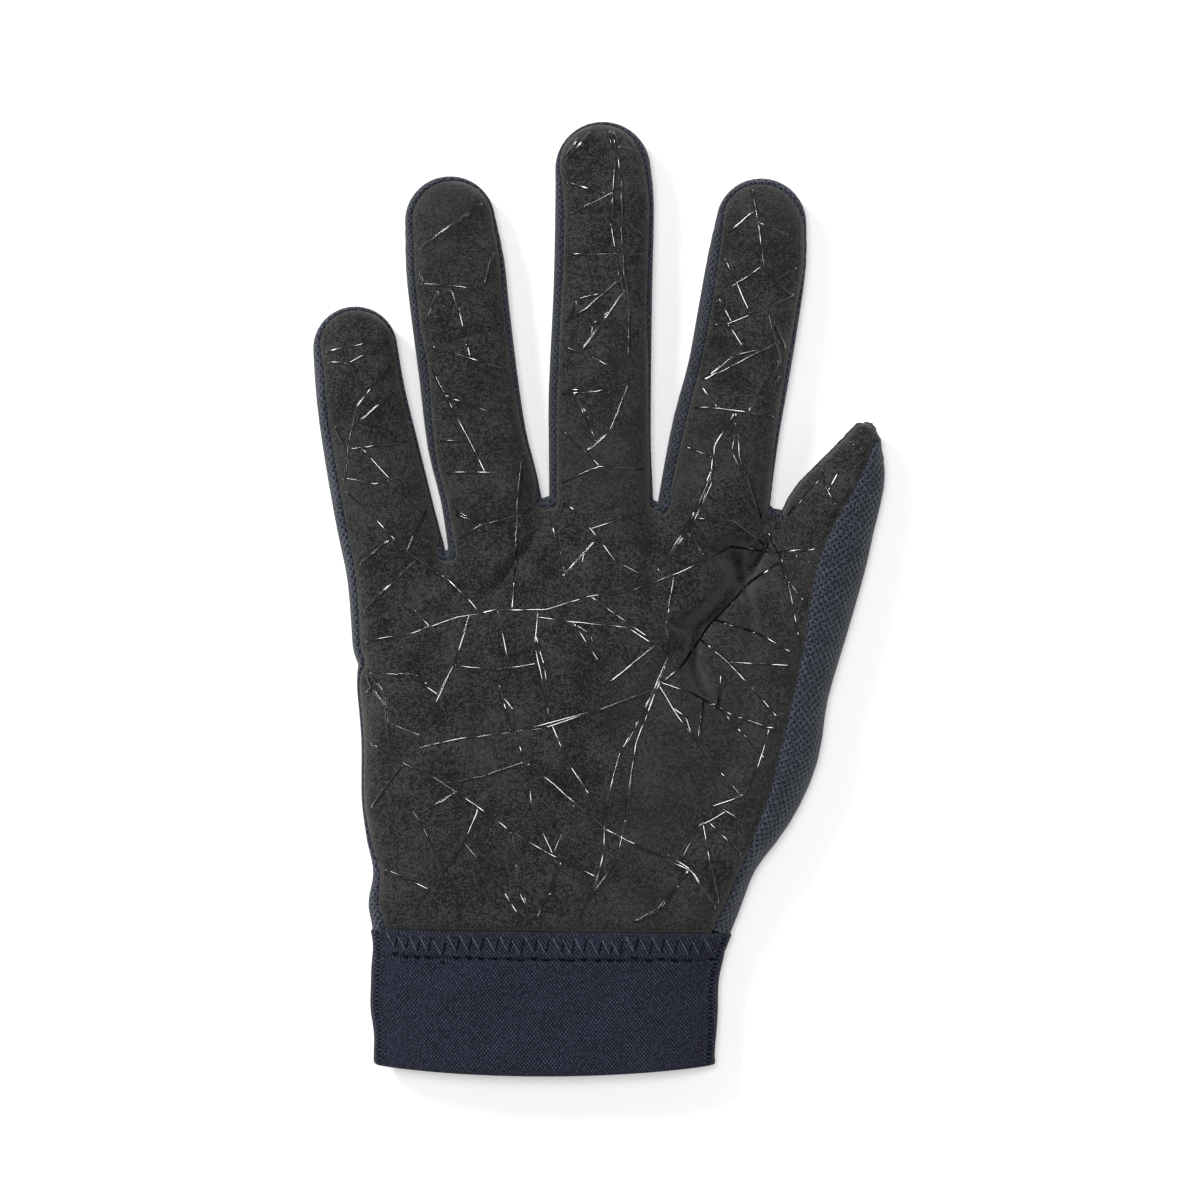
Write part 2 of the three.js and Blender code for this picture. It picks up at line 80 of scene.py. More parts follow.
# x, y, radius, rise of each finger's sections from its tip to the hand
fingerRows = {
    "little": [
        (-57.3, 58.5, 9.9, 6.4),
        (-55.9, 47.0, 10.5, 6.7),
        (-53.3, 33.4, 11.2, 7.0),
        (-50.1, 18.3, 11.7, 7.4),
        (-47.2, 5.4, 12.0, 7.9),
        (-45.8, -9.9, 12.2, 8.4),
    ],
    "ring": [
        (-35.0, 88.4, 10.6, 6.6),
        (-33.8, 78.0, 11.6, 7.0),
        (-32.7, 67.7, 11.6, 7.1),
        (-30.8, 52.6, 11.5, 7.2),
        (-28.7, 37.1, 11.7, 7.5),
        (-25.8, 25.4, 11.7, 7.9),
        (-23.7, 12.5, 11.8, 8.3),
        (-22.1, -2.8, 11.8, 8.6),
    ],
    "middle": [
        (0.9, 100.6, 11.2, 6.8),
        (1.3, 92.1, 11.6, 7.1),
        (0.9, 72.4, 11.6, 7.3),
        (0.2, 48.9, 12.0, 7.5),
        (0.2, 34.8, 12.0, 7.8),
        (0.5, 23.0, 12.2, 8.1),
        (0.5, 11.3, 12.2, 8.4),
        (0.2, -2.8, 11.8, 8.6),
    ],
    "index": [
        (38.1, 87.9, 10.6, 6.7),
        (37.1, 79.0, 11.6, 7.1),
        (35.0, 65.8, 11.9, 7.3),
        (32.7, 52.6, 12.0, 7.5),
        (29.8, 39.5, 12.6, 7.8),
        (27.5, 25.4, 13.0, 8.1),
        (25.9, 12.5, 13.4, 8.5),
        (24.4, -0.5, 13.2, 8.8),
    ],
    "thumb": [
        (62.4, 37.7, 3.8, 4.4),
        (59.7, 29.4, 7.5, 6.4),
        (57.0, 24.0, 9.4, 7.5),
        (53.9, 18.0, 11.0, 8.5),
        (51.2, 8.9, 11.6, 9.3),
        (47.6, -5.2, 11.2, 10.0),
        (43.2, -21.6, 10.8, 10.6),
        (40.6, -35.7, 11.1, 10.8),
        (35.4, -47.5, 10.9, 10.2),
        (28.2, -59.2, 9.8, 9.6),
        (23.9, -71.0, 9.4, 9.0),
        (20.2, -82.7, 8.5, 8.4),
    ],
    "web": [
        (41.0, 19.6, 1.6, 2.2),
        (40.8, 16.6, 3.4, 3.2),
        (40.2, 12.4, 5.2, 4.3),
        (38.8, 5.0, 7.5, 5.0),
        (38.0, -4.0, 10.0, 7.5),
        (36.0, -20.0, 13.0, 9.0),
    ],
}

# y, x of the seam between suede and mesh along the thumb
thumbSeamRows = np.array([
    (-90, 25.0),
    (-78, 26.6),
    (-70, 30.2),
    (-61, 34.2),
    (-47, 39.4),
    (-30, 43.6),
    (-14, 47.2),
    (0, 49.4),
    (9, 51.4),
    (18, 55.4),
    (28, 61.0),
    (37, 64.4),
    (44, 65.8),
])

# y, width of mesh that shows beside the suede on the left and on the right
meshBands = {
    "hand": [(-75, 3.4, 1.0), (-67, 2.1, 1.0), (-60, 1.3, 1.0), (-50, 0.7, 1.0), (-20, 0.7, 1.0),
             (-8, 1.8, 1.0), (2, 2.6, 1.0), (20, 2.9, 1.0)],
    "little": [(-10, 2.2, 0.6), (25, 3.0, 0.5), (45, 2.8, 0.9), (53, 2.9, 0.9), (60, 1.9, 0.5),
               (68, 1.5, 0.8)],
    "ring": [(10, 1.8, 0.6), (30, 1.6, 0.5), (44, 2.4, 0.9), (55, 2.9, 1.3), (63, 2.1, 1.3),
             (72, 2.3, 1.4), (82, 2.4, 1.0), (90, 2.0, 0.6), (99, 2.3, 0.6)],
    "middle": [(10, 1.7, 0.6), (40, 2.2, 0.5), (55, 2.4, 0.7), (65, 2.1, 1.3), (80, 2.5, 1.3),
               (92, 2.4, 1.1), (101, 1.2, 1.6), (106, 0.6, 1.9), (112, 0.5, 1.2)],
    "index": [(10, 1.9, 0.3), (26, 2.9, 0.35), (40, 3.6, 0.9), (55, 3.4, 1.1), (67, 3.7, 1.0),
              (77, 3.4, 0.6), (87, 2.4, 0.6), (92, 1.5, 1.6), (99, 1.6, 2.3)],
    "thumb": [(-20, 0.4, 0.7), (30, 0.45, 0.7), (44, 0.6, 0.7)],
}

# x, y, radius of the round of mesh at the foot of each gap between fingers
gapFeet = [(14.4, 22.9, 2.4), (-12.6, 23.2, 2.4), (-36.2, 10.8, 2.1)]


# A smooth curve through the rows of a table: row i at whole numbers, a cubic through four
# neighbouring rows between them
def smoothRows(table, at):
    last = len(table) - 1
    i = np.clip(np.floor(at).astype(int), 0, last - 1)
    t = (at - i)[..., None]
    a, b, c, d = (table[np.clip(i + n, 0, last)] for n in (-1, 0, 1, 2))
    return 0.5 * (2 * b + (c - a) * t + (2 * a - 5 * b + 4 * c - d) * t**2 + (3 * b - a - 3 * c + d) * t**3)


# The columns of a table that is ordered by its first one
def atLevel(table, y):
    levels = table[:, 0]
    level = np.clip(y, levels[0], levels[-1])
    i = np.clip(np.searchsorted(levels, level) - 1, 0, len(levels) - 2)
    return smoothRows(table, i + (level - levels[i]) / (levels[i + 1] - levels[i]))


# A table with more rows, put in along its smooth curve
def finer(rows, parts):
    table = np.array(rows, float)
    return smoothRows(table, np.linspace(0, len(table) - 1, (len(table) - 1) * parts + 1))


# Left edge, right edge and rise of the hand at a level
def sectionAt(y):
    row = atLevel(handRows, y)
    return row[..., 1], row[..., 2], row[..., 3]


limbs = {name: finer(rows, skin["finerAxis"]) for name, rows in fingerRows.items()}
bandTables = {name: np.array(rows, float) for name, rows in meshBands.items()}


# Where each point lies on a path: the nearest place on each straight length, as the distance to
# it and the path's own columns there
def alongPath(path, x, y):
    for a, b in zip(path[:-1], path[1:]):
        dx, dy = b[0] - a[0], b[1] - a[1]
        t = np.clip(((x - a[0]) * dx + (y - a[1]) * dy) / (dx * dx + dy * dy), 0, 1)
        away = np.hypot(x - a[0] - t * dx, y - a[1] - t * dy)
        yield away, [a[n] + t * (b[n] - a[n]) for n in range(2, len(a))]


# A round tube: rise squared on its middle line, zero at its radius
def tubeField(axis, x, y):
    best = np.full(np.shape(x), -np.inf)
    for away, (radius, rise) in alongPath(axis, x, y):
        best = np.maximum(best, rise**2 * (1 - (away / radius) ** 2))
    return best


# The hand: rise squared times a flat-topped arch across, rolling off at the knuckles
def handField(x, y):
    left, right, rise = sectionAt(y)
    across = (2 * x - left - right) / (right - left)
    bow = (x - skin["knuckleX"]) ** 2 / skin["knuckleSpread"]
    knuckleLine = skin["knuckleY"] - skin["knuckleDrop"] * np.tanh(bow / skin["knuckleDrop"])
    t = np.minimum(1, (knuckleLine - y) / skin["knuckleRoll"])
    return rise**2 * (t * (2 - t) - np.abs(across) ** skin["palmSquareness"])


# All mounds as one: the cube root of the sum of their cubes, above zero inside the glove
def gloveField(x, y):
    values = [handField(x, y)] + [tubeField(axis, x, y) for axis in limbs.values()]
    highest = np.max(values, axis=0)
    total = sum(np.maximum(value, 0) ** skin["blend"] for value in values)
    return np.where(highest <= 0, highest, total ** (1 / skin["blend"]))


# Slope of a level across and along: the difference over a short step each way
def slopeOf(level, x, y, step=0.05):
    across = (level(x + step, y) - level(x - step, y)) / (2 * step)
    along = (level(x, y + step) - level(x, y - step)) / (2 * step)
    return across, along


# Height up the glove of the seam between palm and cuff: a line with a slight slope
def cuffLine(x):
    return skin["cuffSeamY"] + skin["cuffSeamSlope"] * (x + 55)


def clothEnd(x):
    return cuffLine(x) - skin["underCuff"]


# Height of the cuff's outside on the palm side: the widest line plus the rise times the root of
# one less the power of the distance across
def cuffTop(x, y):
    left, right, rise = sectionAt(y)
    across = (2 * x - left - right) / (right - left + 2 * skin["cuffProud"])
    up = np.sqrt(np.maximum(1 - np.abs(across) ** skin["palmSquareness"], 0))
    return skin["widestHeight"] + (rise + skin["cuffProud"]) * up


# The less of two values, rounded over where they are within a width of each other
def softMin(first, second, width):
    return -width * np.logaddexp(-first / width, -second / width)


# Distance inside the glove's outline, true near the outline: the field over its slope
def insideBy(x, y):
    gx, gy = slopeOf(gloveField, x, y)
    return gloveField(x, y) / np.maximum(np.hypot(gx, gy), 0.02)


# Width of the mesh that shows at a point: each finger's own left and right width, weighed by how
# much of the skin there is that finger's, and by which way the edge faces
def meshWidth(x, y, facing):
    names = list(bandTables)
    fields = [handField(x, y) if name == "hand" else tubeField(limbs[name], x, y) for name in names]
    highest = np.max(fields, axis=0)
    total = weights = 0
    for name, value in zip(names, fields):
        table = bandTables[name]
        left, right = (np.interp(y, table[:, 0], table[:, n]) for n in (1, 2))
        weight = np.exp((value - highest) / 5)
        total = total + weight * (left + (right - left) * (facing + 1) / 2)
        weights = weights + weight
    return total / weights


# Distance inside the edge of the suede: the softened least of the distances inside the mesh
# bands, left of the thumb's seam and out of the round at the foot of each gap
def insideSuede(x, y):
    gx, gy = slopeOf(gloveField, x, y)
    size = np.maximum(np.hypot(gx, gy), 0.02)
    edge = gloveField(x, y) / size - meshWidth(x, y, -gx / size)
    edge = softMin(edge, atLevel(thumbSeamRows, y)[..., 1] - x, skin["cornerRound"])
    for footX, footY, radius in gapFeet:
        edge = softMin(edge, np.hypot(x - footX, y - footY) - radius, skin["cornerRound"])
    return edge


# Moves points along a level's slope to where it has a value, never past the cloth's end
def ontoLevel(level, x, y, value, turns=5):
    for _ in range(turns):
        gx, gy = slopeOf(level, x, y)
        step = (level(x, y) - value) / np.maximum(gx**2 + gy**2, 0.05)
        reach = np.maximum(np.abs(step) * np.hypot(gx, gy) / 1.2, 1)
        x = x - step * gx / reach
        y = np.maximum(y - step * gy / reach, clothEnd(x))
    return x, y


# Edges with a face on one side only: those whose reverse is on no other face
def freeEdges(faces):
    edges = np.concatenate([faces[:, [n, (n + 1) % 4]] for n in range(4)])
    top = faces.max() + 1
    forward = edges[:, 0].astype(np.int64) * top + edges[:, 1]
    backward = edges[:, 1].astype(np.int64) * top + edges[:, 0]
    return edges[~np.isin(forward, backward)]


# The four corners of every cell of a grid, in turn round the cell
def cellCorners(grid):
    return [grid[:-1, :-1], grid[:-1, 1:], grid[1:, 1:], grid[1:, :-1]]


# Squares of a grid that lie where a level is above zero. Rows start at the cloth's end, close
# together at first. Points on the free edge are moved onto the level's zero line.
def trimmedGrid(level, pitch, firstRows=(0.0,)):
    columns = np.arange(-skin["gridHalf"], skin["gridHalf"], pitch)
    heights = np.concatenate([firstRows, np.arange(firstRows[-1] + pitch, skin["gridLength"], pitch)])
    x, rise = np.meshgrid(columns, heights)
    y = clothEnd(x) + rise
    kept = np.all(cellCorners(level(x, y) > -0.45 * pitch), axis=0)
    number = np.arange(x.size).reshape(x.shape)
    faces = np.stack([corner[kept] for corner in cellCorners(number)], axis=1)
    used, faces = np.unique(faces, return_inverse=True)
    faces = faces.reshape(-1, 4)
    x, y = x.ravel()[used], y.ravel()[used]
    edges = freeEdges(faces)
    atCuff = y - clothEnd(x) < 1e-6
    edges = edges[~(atCuff[edges[:, 0]] & atCuff[edges[:, 1]])]
    rim = np.unique(edges)
    x[rim], y[rim] = ontoLevel(level, x[rim], y[rim], 0)
    return x, y, faces, edges


# Puts the points of one open chain of edges in order: each point's distance from the chain's
# end, counted by doubling the stride
def inOrder(edges):
    points, local = np.unique(edges, return_inverse=True)
    local = local.reshape(-1, 2)
    follow = np.arange(len(points))
    follow[local[:, 0]] = local[:, 1]
    strides = (follow != np.arange(len(points))).astype(int)
    for _ in range(int(np.log2(len(points))) + 2):
        strides = strides + strides[follow]
        follow = follow[follow]
    return points[np.argsort(-strides)]


def lengthAlong(x, y):
    return np.concatenate([[0], np.cumsum(np.hypot(np.diff(x), np.diff(y)))])


# The same line with evenly spaced points: places read off against the length along it
def respaced(x, y, spacing):
    length = lengthAlong(x, y)
    at = np.linspace(0, length[-1], int(length[-1] / spacing) + 1)
    return np.interp(at, length, x), np.interp(at, length, y), at


# Quads between the rows of a grid of points numbered row by row
def gridFaces(rows, columns):
    number = np.arange(rows * columns).reshape(rows, columns)
    return np.stack(cellCorners(number), axis=-1).reshape(-1, 4)


# Quads between rings of numbered points in order, and a face over each end
def ringFaces(number):
    after = np.roll(number, -1, axis=1)
    quads = np.stack([number[:-1], number[1:], after[1:], after[:-1]], axis=-1).reshape(-1, 4)
    return quads, [number[0].tolist(), number[-1, ::-1].tolist()]


# A soft unevenness: the mean of plane waves of about one length, with seeded turns and phases
def waves(x, y, seed, length, count=14):
    random = np.random.default_rng(seed)
    total = np.zeros(np.shape(x))
    for _ in range(count):
        turn, phase = random.uniform(0, 2 * np.pi, 2)
        pace = 2 * np.pi / (length * random.uniform(0.7, 1.5))
        total += np.sin(pace * (x * np.cos(turn) + y * np.sin(turn)) + phase)
    return total / np.sqrt(count / 2)


# A mesh piece from points in millimetres, riding on the glove's one body
def makePiece(name, points, faces, material, replaced=(), uv=None, values=None):
    shift = np.array([*skin["centreShift"], 0])
    mesh = bpy.data.meshes.new(name)
    mesh.from_pydata(((points + shift) / 1000).tolist(), [], [list(map(int, face)) for face in faces])
    mesh.polygons.foreach_set("use_smooth", np.ones(len(mesh.polygons), bool))
    if uv is not None:
        layer = mesh.uv_layers.new(name="weave")
        layer.data.foreach_set("uv", np.asarray(uv, np.float32).ravel())
    for key, value in (values or {}).items():
        attribute = mesh.attributes.new(key, "FLOAT", "POINT")
        attribute.data.foreach_set("value", np.asarray(value, np.float32))
    mesh.materials.append(material)
    piece = bpy.data.objects.new(name, mesh)
    scene.collection.objects.link(piece)
    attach(piece, "root")
    if replaced:
        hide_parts(*replaced)
    print(name, len(mesh.polygons), "faces")
    return piece


# Cloth grows inwards from its outer face
def solidify(piece, thickness):
    wall = piece.modifiers.new("cloth", "SOLIDIFY")
    wall.thickness = thickness / 1000
    wall.offset = -1
    wall.use_even_offset = False


def newMaterial(name, roughness, **sockets):
    material = bpy.data.materials.new(name)
    material.use_nodes = True
    tree = material.node_tree
    shader = tree.nodes["Principled BSDF"]
    shader.inputs["Roughness"].default_value = roughness
    for key, value in sockets.items():
        shader.inputs[key.replace("_", " ")].default_value = value
    return material, tree, shader


def addNode(tree, kind, inputs, **settings):
    made = tree.nodes.new(kind)
    for key, value in settings.items():
        setattr(made, key, value)
    for key, value in inputs.items():
        if isinstance(value, bpy.types.NodeSocket):
            tree.links.new(value, made.inputs[key])
        else:
            made.inputs[key].default_value = value
    return made


def calc(tree, operation, *values):
    return addNode(tree, "ShaderNodeMath", dict(enumerate(values)), operation=operation).outputs[0]


def noise(tree, where, scale, detail=2.0, roughness=0.5):
    inputs = {"Vector": where, "Scale": scale, "Detail": detail, "Roughness": roughness}
    return addNode(tree, "ShaderNodeTexNoise", inputs).outputs["Fac"]


def steps(tree, value, low, high):
    inputs = {"Value": value, "From Min": low, "From Max": high}
    return addNode(tree, "ShaderNodeMapRange", inputs, interpolation_type="SMOOTHSTEP").outputs["Result"]


def blendColour(tree, share, first, second):
    inputs = {0: share, 6: first, 7: second}
    return addNode(tree, "ShaderNodeMix", inputs, data_type="RGBA").outputs[2]


def bump(tree, shader, height, strength, distance):
    inputs = {"Height": height, "Strength": strength, "Distance": distance}
    tree.links.new(addNode(tree, "ShaderNodeBump", inputs).outputs["Normal"], shader.inputs["Normal"])


def objectPlace(tree):
    return addNode(tree, "ShaderNodeTexCoord", {}).outputs["Object"]


def weavePlace(tree):
    return addNode(tree, "ShaderNodeUVMap", {}, uv_map="weave").outputs[0]


# The product of two cosines, one for each way of the weave, at the stated spacings
def lattice(tree, spacings):
    split = addNode(tree, "ShaderNodeSeparateXYZ", {0: weavePlace(tree)})
    turns = [calc(tree, "MULTIPLY", split.outputs[n], 2 * math.pi / spacings[n]) for n in (0, 1)]
    return calc(tree, "MULTIPLY", *[calc(tree, "COSINE", turn) for turn in turns])


suedeLook = {
    "dark": (0.0040, 0.0037, 0.0033, 1),
    "light": (0.0460, 0.0441, 0.0405, 1),
    "worn": (0.0330, 0.0320, 0.0310, 1),
    "cutEdge": (0.070, 0.068, 0.062, 1),
    "toneRange": (0.435, 0.585),
    "wear": 26.0,  # this and the next three are paces of noise, per metre
    "mottle": 130.0,
    "nap": 900.0,
    "grain": 2500.0,
    "wearRange": (0.45, 0.75),
    "wearShare": 0.45,
}


# Nap and grain mixed into one tone, with worn patches and a pale cut edge
def makeSuede():
    look = suedeLook
    material, tree, shader = newMaterial("suede", 0.92, Sheen_Weight=0.2, Sheen_Roughness=0.5)
    shader.inputs["Specular IOR Level"].default_value = 0.2
    where = objectPlace(tree)
    mottle = noise(tree, where, look["mottle"], 3, 0.55)
    nap = noise(tree, where, look["nap"], 4, 0.6)
    grain = noise(tree, where, look["grain"], 2, 0.6)
    soft = calc(tree, "MULTIPLY_ADD", mottle, 0.2, calc(tree, "MULTIPLY", nap, 0.25))
    tone = calc(tree, "MULTIPLY_ADD", grain, 0.55, soft)
    colour = blendColour(tree, steps(tree, tone, *look["toneRange"]), look["dark"], look["light"])
    wear = steps(tree, noise(tree, where, look["wear"], 2, 0.5), *look["wearRange"])
    colour = blendColour(tree, calc(tree, "MULTIPLY", wear, look["wearShare"]), colour, look["worn"])
    edge = addNode(tree, "ShaderNodeAttribute", {}, attribute_name="cutEdge").outputs["Fac"]
    colour = blendColour(tree, calc(tree, "MULTIPLY", edge, nap), colour, look["cutEdge"])
    tree.links.new(colour, shader.inputs["Base Color"])
    bump(tree, shader, calc(tree, "MULTIPLY_ADD", grain, 0.9, nap), 0.6, 0.0004)
    return material


meshLook = {
    "pitch": 1.8,  # millimetres between holes of one row; rows are half of it apart
    "yarn": (0.070, 0.083, 0.113, 1),
    "yarnDark": (0.008, 0.010, 0.018, 1),
    "hole": (0.002, 0.002, 0.005, 1),
}

# The strips between the fingers: the same mesh, finer, and darker as painted shade for the shade that falls
# between the fingers
sideShadedLook = {
    "pitch": 1.6,
    "yarn": (0.052, 0.060, 0.086, 1),
    "yarnDark": (0.007, 0.008, 0.014, 1),
    "hole": (0.002, 0.002, 0.004, 1),
}

meshYarn = {
    "fibres": 2300,
    "patches": 160,
    "toneRange": (0.46, 0.68),
    "raggedness": 1.3,
    "holeRange": (1.0, 1.2),
}


# Holes in offset rows: high where the product of two cosines is, dark and sunk
def makeMeshKnit(name, look):
    material, tree, shader = newMaterial(name, 0.8, Sheen_Weight=0.1, Sheen_Roughness=0.5)
    shader.inputs["Specular IOR Level"].default_value = 0.3
    fibres = noise(tree, objectPlace(tree), meshYarn["fibres"], 3, 0.65)
    patches = noise(tree, objectPlace(tree), meshYarn["patches"], 3, 0.6)
    holes = lattice(tree, (look["pitch"], look["pitch"]))
    ragged = calc(tree, "MULTIPLY_ADD", fibres, meshYarn["raggedness"], holes)
    hole = steps(tree, ragged, *meshYarn["holeRange"])
    tone = calc(tree, "MULTIPLY_ADD", patches, 0.12, fibres)
    yarn = blendColour(tree, steps(tree, tone, *meshYarn["toneRange"]), look["yarnDark"], look["yarn"])
    tree.links.new(blendColour(tree, hole, yarn, look["hole"]), shader.inputs["Base Color"])
    height = calc(tree, "MULTIPLY_ADD", fibres, 0.25, calc(tree, "MULTIPLY", holes, -0.5))
    bump(tree, shader, height, 0.7, 0.0004)
    return material


cuffLook = {
    "stitch": 0.85,  # millimetres between stitches of a row
    "row": 1.0,  # millimetres between rows, with offset rows halfway
    "yarn": (0.056, 0.062, 0.100, 1),
    "yarnDark": (0.011, 0.012, 0.024, 1),
    "gap": (0.002, 0.002, 0.006, 1),
    "fibres": 1900,
    "toneRange": (0.42, 0.58),
    "raggedness": 4.6,
    "gapRange": (2.2, 2.9),
}


# Fine stitches in offset rows, darker between them, with uneven fibres
def makeCuffKnit():
    look = cuffLook
    material, tree, shader = newMaterial("cuffKnit", 0.9, Sheen_Weight=0.05, Sheen_Roughness=0.5)
    shader.inputs["Specular IOR Level"].default_value = 0.15
    fibres = noise(tree, objectPlace(tree), look["fibres"], 2, 0.6)
    gaps = lattice(tree, (look["stitch"], look["row"]))
    gap = steps(tree, calc(tree, "MULTIPLY_ADD", fibres, look["raggedness"], gaps), *look["gapRange"])
    yarn = blendColour(tree, steps(tree, fibres, *look["toneRange"]), look["yarnDark"], look["yarn"])
    tree.links.new(blendColour(tree, gap, yarn, look["gap"]), shader.inputs["Base Color"])
    height = calc(tree, "MULTIPLY_ADD", fibres, 0.4, calc(tree, "MULTIPLY", gaps, -0.4))
    bump(tree, shader, height, 0.6, 0.0003)
    return material


siliconeLook = {
    "black": (0.003, 0.0033, 0.004, 1),
    "paintedGlintMilk": (0.030, 0.033, 0.037, 1),
    "paintedGlintMilkPace": 210,
    "swells": 110,
    "ripples": 900,
}


# Black and glossy, with lighter cloudy patches that are partly milky silicone and partly painted highlight
# for glints, and a gently uneven top that catches the light in places
def makeSilicone():
    material, tree, shader = newMaterial("silicone", 0.16, Coat_Weight=1.0, Coat_Roughness=0.06)
    look = siliconeLook
    where = objectPlace(tree)
    # Lighter cloudy patches: partly milky silicone, partly painted highlight standing in for glints
    paintedGlintMilkShare = steps(tree, noise(tree, where, look["paintedGlintMilkPace"], 3), 0.5, 0.7)
    tree.links.new(blendColour(tree, paintedGlintMilkShare, look["black"], look["paintedGlintMilk"]), shader.inputs["Base Color"])
    swells = calc(tree, "MULTIPLY", noise(tree, where, look["swells"], 2), 4.5)
    ripples = noise(tree, where, look["ripples"], 2)
    bump(tree, shader, calc(tree, "MULTIPLY_ADD", ripples, 0.25, swells), 0.5, 0.0003)
    return material


# Thread between two tones that change along its twist
def makeThread(name, dark, light, gloss=0.4):
    material, tree, shader = newMaterial(name, 0.7)
    shader.inputs["Specular IOR Level"].default_value = gloss
    twist = noise(tree, objectPlace(tree), 3200, 3, 0.6)
    colour = blendColour(tree, steps(tree, twist, 0.35, 0.65), dark, light)
    tree.links.new(colour, shader.inputs["Base Color"])
    bump(tree, shader, twist, 0.5, 0.0002)
    return material


suedeMaterial = makeSuede()
meshMaterial = makeMeshKnit("meshKnit", meshLook)
# The side strips take the darker copy of the mesh: painted shade
sideShadedMaterial = makeMeshKnit("sideKnitPaintedShade", sideShadedLook)
cuffMaterial = makeCuffKnit()
siliconeMaterial = makeSilicone()
seamThread = makeThread("seamThread", (0.010, 0.011, 0.018, 1), (0.036, 0.040, 0.058, 1))
zigzagThread = makeThread("zigzagThread", (0.020, 0.026, 0.038, 1), (0.120, 0.145, 0.170, 1))
# Near-black: the dark thread of the zigzag's returns, and painted shade for the needle holes
returnThreadAndHoleShade = makeThread("returnThreadAndHoleShade", (0.001, 0.001, 0.002, 1), (0.004, 0.004, 0.007, 1), 0.05)
print("materials made")

# The suede palm
palm = {
    "pitch": 0.8,
    "thickness": 0.9,
    "hem": 1.3,  # the grid ends this far inside the edge, and rows along the edge follow
    "hemRows": (1.0, 0.75, 0.52, 0.34, 0.21, 0.11, 0.04, 0.0),
    "hemDip": 0.4,
    "hemDipWidth": 0.9,
    "hemRound": 0.32,
    "cuffRows": (0.0, 0.45, 0.75, 0.9, 1.05, 1.2, 1.4, 1.65, 2.0, 2.5, 3.1),
    "cuffDip": 1.4,
    "cuffDipWidth": 0.55,
    "unevenness": 0.28,
    "ripples": 0.06,
    "wornWidth": 0.3,
    "foldFade": 4.0,
    "foldStrength": 2.3,
    "underCuffTop": 0.35,
    "cuffReach": 5.0,
}

# Folds of the palm: x, y, half width, depth along each one
foldRows = {
    "underIndex": [(13.0, -5.0, 1.2, 0.0), (17.0, -6.0, 1.4, 1.0), (21.0, -6.8, 1.9, 2.0),
                   (24.6, -5.6, 2.4, 2.7), (28.4, -1.8, 2.5, 3.0), (31.2, 2.4, 2.2, 2.4),
                   (33.4, 5.4, 2.0, 1.6)],
    "hollow": [(31.0, 13.0, 2.0, 0.6), (31.8, 10.6, 3.0, 3.0), (32.3, 8.2, 3.2, 3.8),
               (33.0, 5.4, 2.4, 2.4)],
    "thumbRoot": [(33.6, 4.0, 1.6, 1.6), (34.8, -0.6, 1.8, 1.7), (36.0, -7.4, 1.7, 1.2),
                  (36.8, -13.0, 1.6, 0.0)],
    "down": [(23.6, -6.0, 1.7, 1.4), (22.2, -10.5, 2.2, 2.6), (22.0, -15.5, 2.2, 2.6),
             (23.8, -21.0, 2.0, 2.1), (26.6, -25.6, 2.0, 1.4), (28.4, -31.0, 1.8, 0.0)],
    "downLeft": [(19.0, -8.0, 1.3, 0.2), (17.4, -12.5, 1.5, 0.9), (13.8, -18.0, 1.6, 0.4),
                 (10.5, -22.0, 2.0, 0.0)],
    "middle": [(-3.0, -34.0, 6.0, 0.2), (4.2, -30.3, 6.0, 1.5), (11.0, -26.0, 5.5, 0.9),
               (17.0, -19.0, 4.0, 0.0)],
    "ring": [(-12.6, 19.0, 1.2, 0.1), (-15.5, 13.6, 1.5, 1.0), (-20.5, 6.8, 1.6, 1.2),
             (-25.6, 0.2, 1.5, 0.6), (-28.6, -3.6, 1.5, 0.0)],
    "crotch": [(39.4, 12.6, 0.9, 1.8), (37.4, 9.0, 1.1, 1.9), (35.6, 5.0, 1.2, 1.4), (34.2, 1.0, 1.3, 0.6)],
    "indexRoot": [(19.5, 13.2, 2.2, 0.0), (24.4, 11.4, 2.4, 0.9), (29.0, 10.4, 2.4, 1.0)],
    "ringFinger": [(-35.0, 59.3, 1.0, 0.4), (-29.0, 61.6, 1.0, 0.5), (-23.6, 63.0, 1.0, 0.1)],
    "littleRoot": [(-28.2, 13.6, 2.6, 0.0), (-21.0, 15.8, 2.6, 0.5), (-14.0, 18.4, 2.4, 0.2)],
    "heel": [(-34.0, -16.0, 6.5, 0.1), (-24.0, -22.0, 7.0, 0.8), (-12.0, -30.0, 6.5, 0.2)],
}
folds = [finer(rows, 4) for rows in foldRows.values()]


# Depth of the folds: for each fold the deepest of its straight lengths, fading with the distance
# over the half width to the power 1.7
def foldDepth(x, y):
    total = np.zeros(np.shape(x))
    for path in folds:
        deepest = np.zeros(np.shape(x))
        for away, (width, depth) in alongPath(path, x, y):
            deepest = np.maximum(deepest, depth * np.exp(-((away / width) ** 1.7)))
        total += deepest
    return total


# Height of the palm side: the widest line, plus the field's root, less folds and unevenness that
# fade out towards the outline, and held under the cuff's arch near the cuff
def palmHeight(x, y):
    rise = np.sqrt(np.maximum(gloveField(x, y), 0))
    fade = np.clip(rise / palm["foldFade"], 0, 1)
    uneven = palm["unevenness"] * waves(x, y, 5, 17) + palm["ripples"] * waves(x, y, 6, 5)
    height = skin["widestHeight"] + rise + fade * (uneven - palm["foldStrength"] * foldDepth(x, y))
    excess = np.maximum(height + palm["underCuffTop"] - cuffTop(x, y), 0)
    return height - excess * np.exp(-((np.maximum(y - cuffLine(x), 0) / palm["cuffReach"]) ** 2))


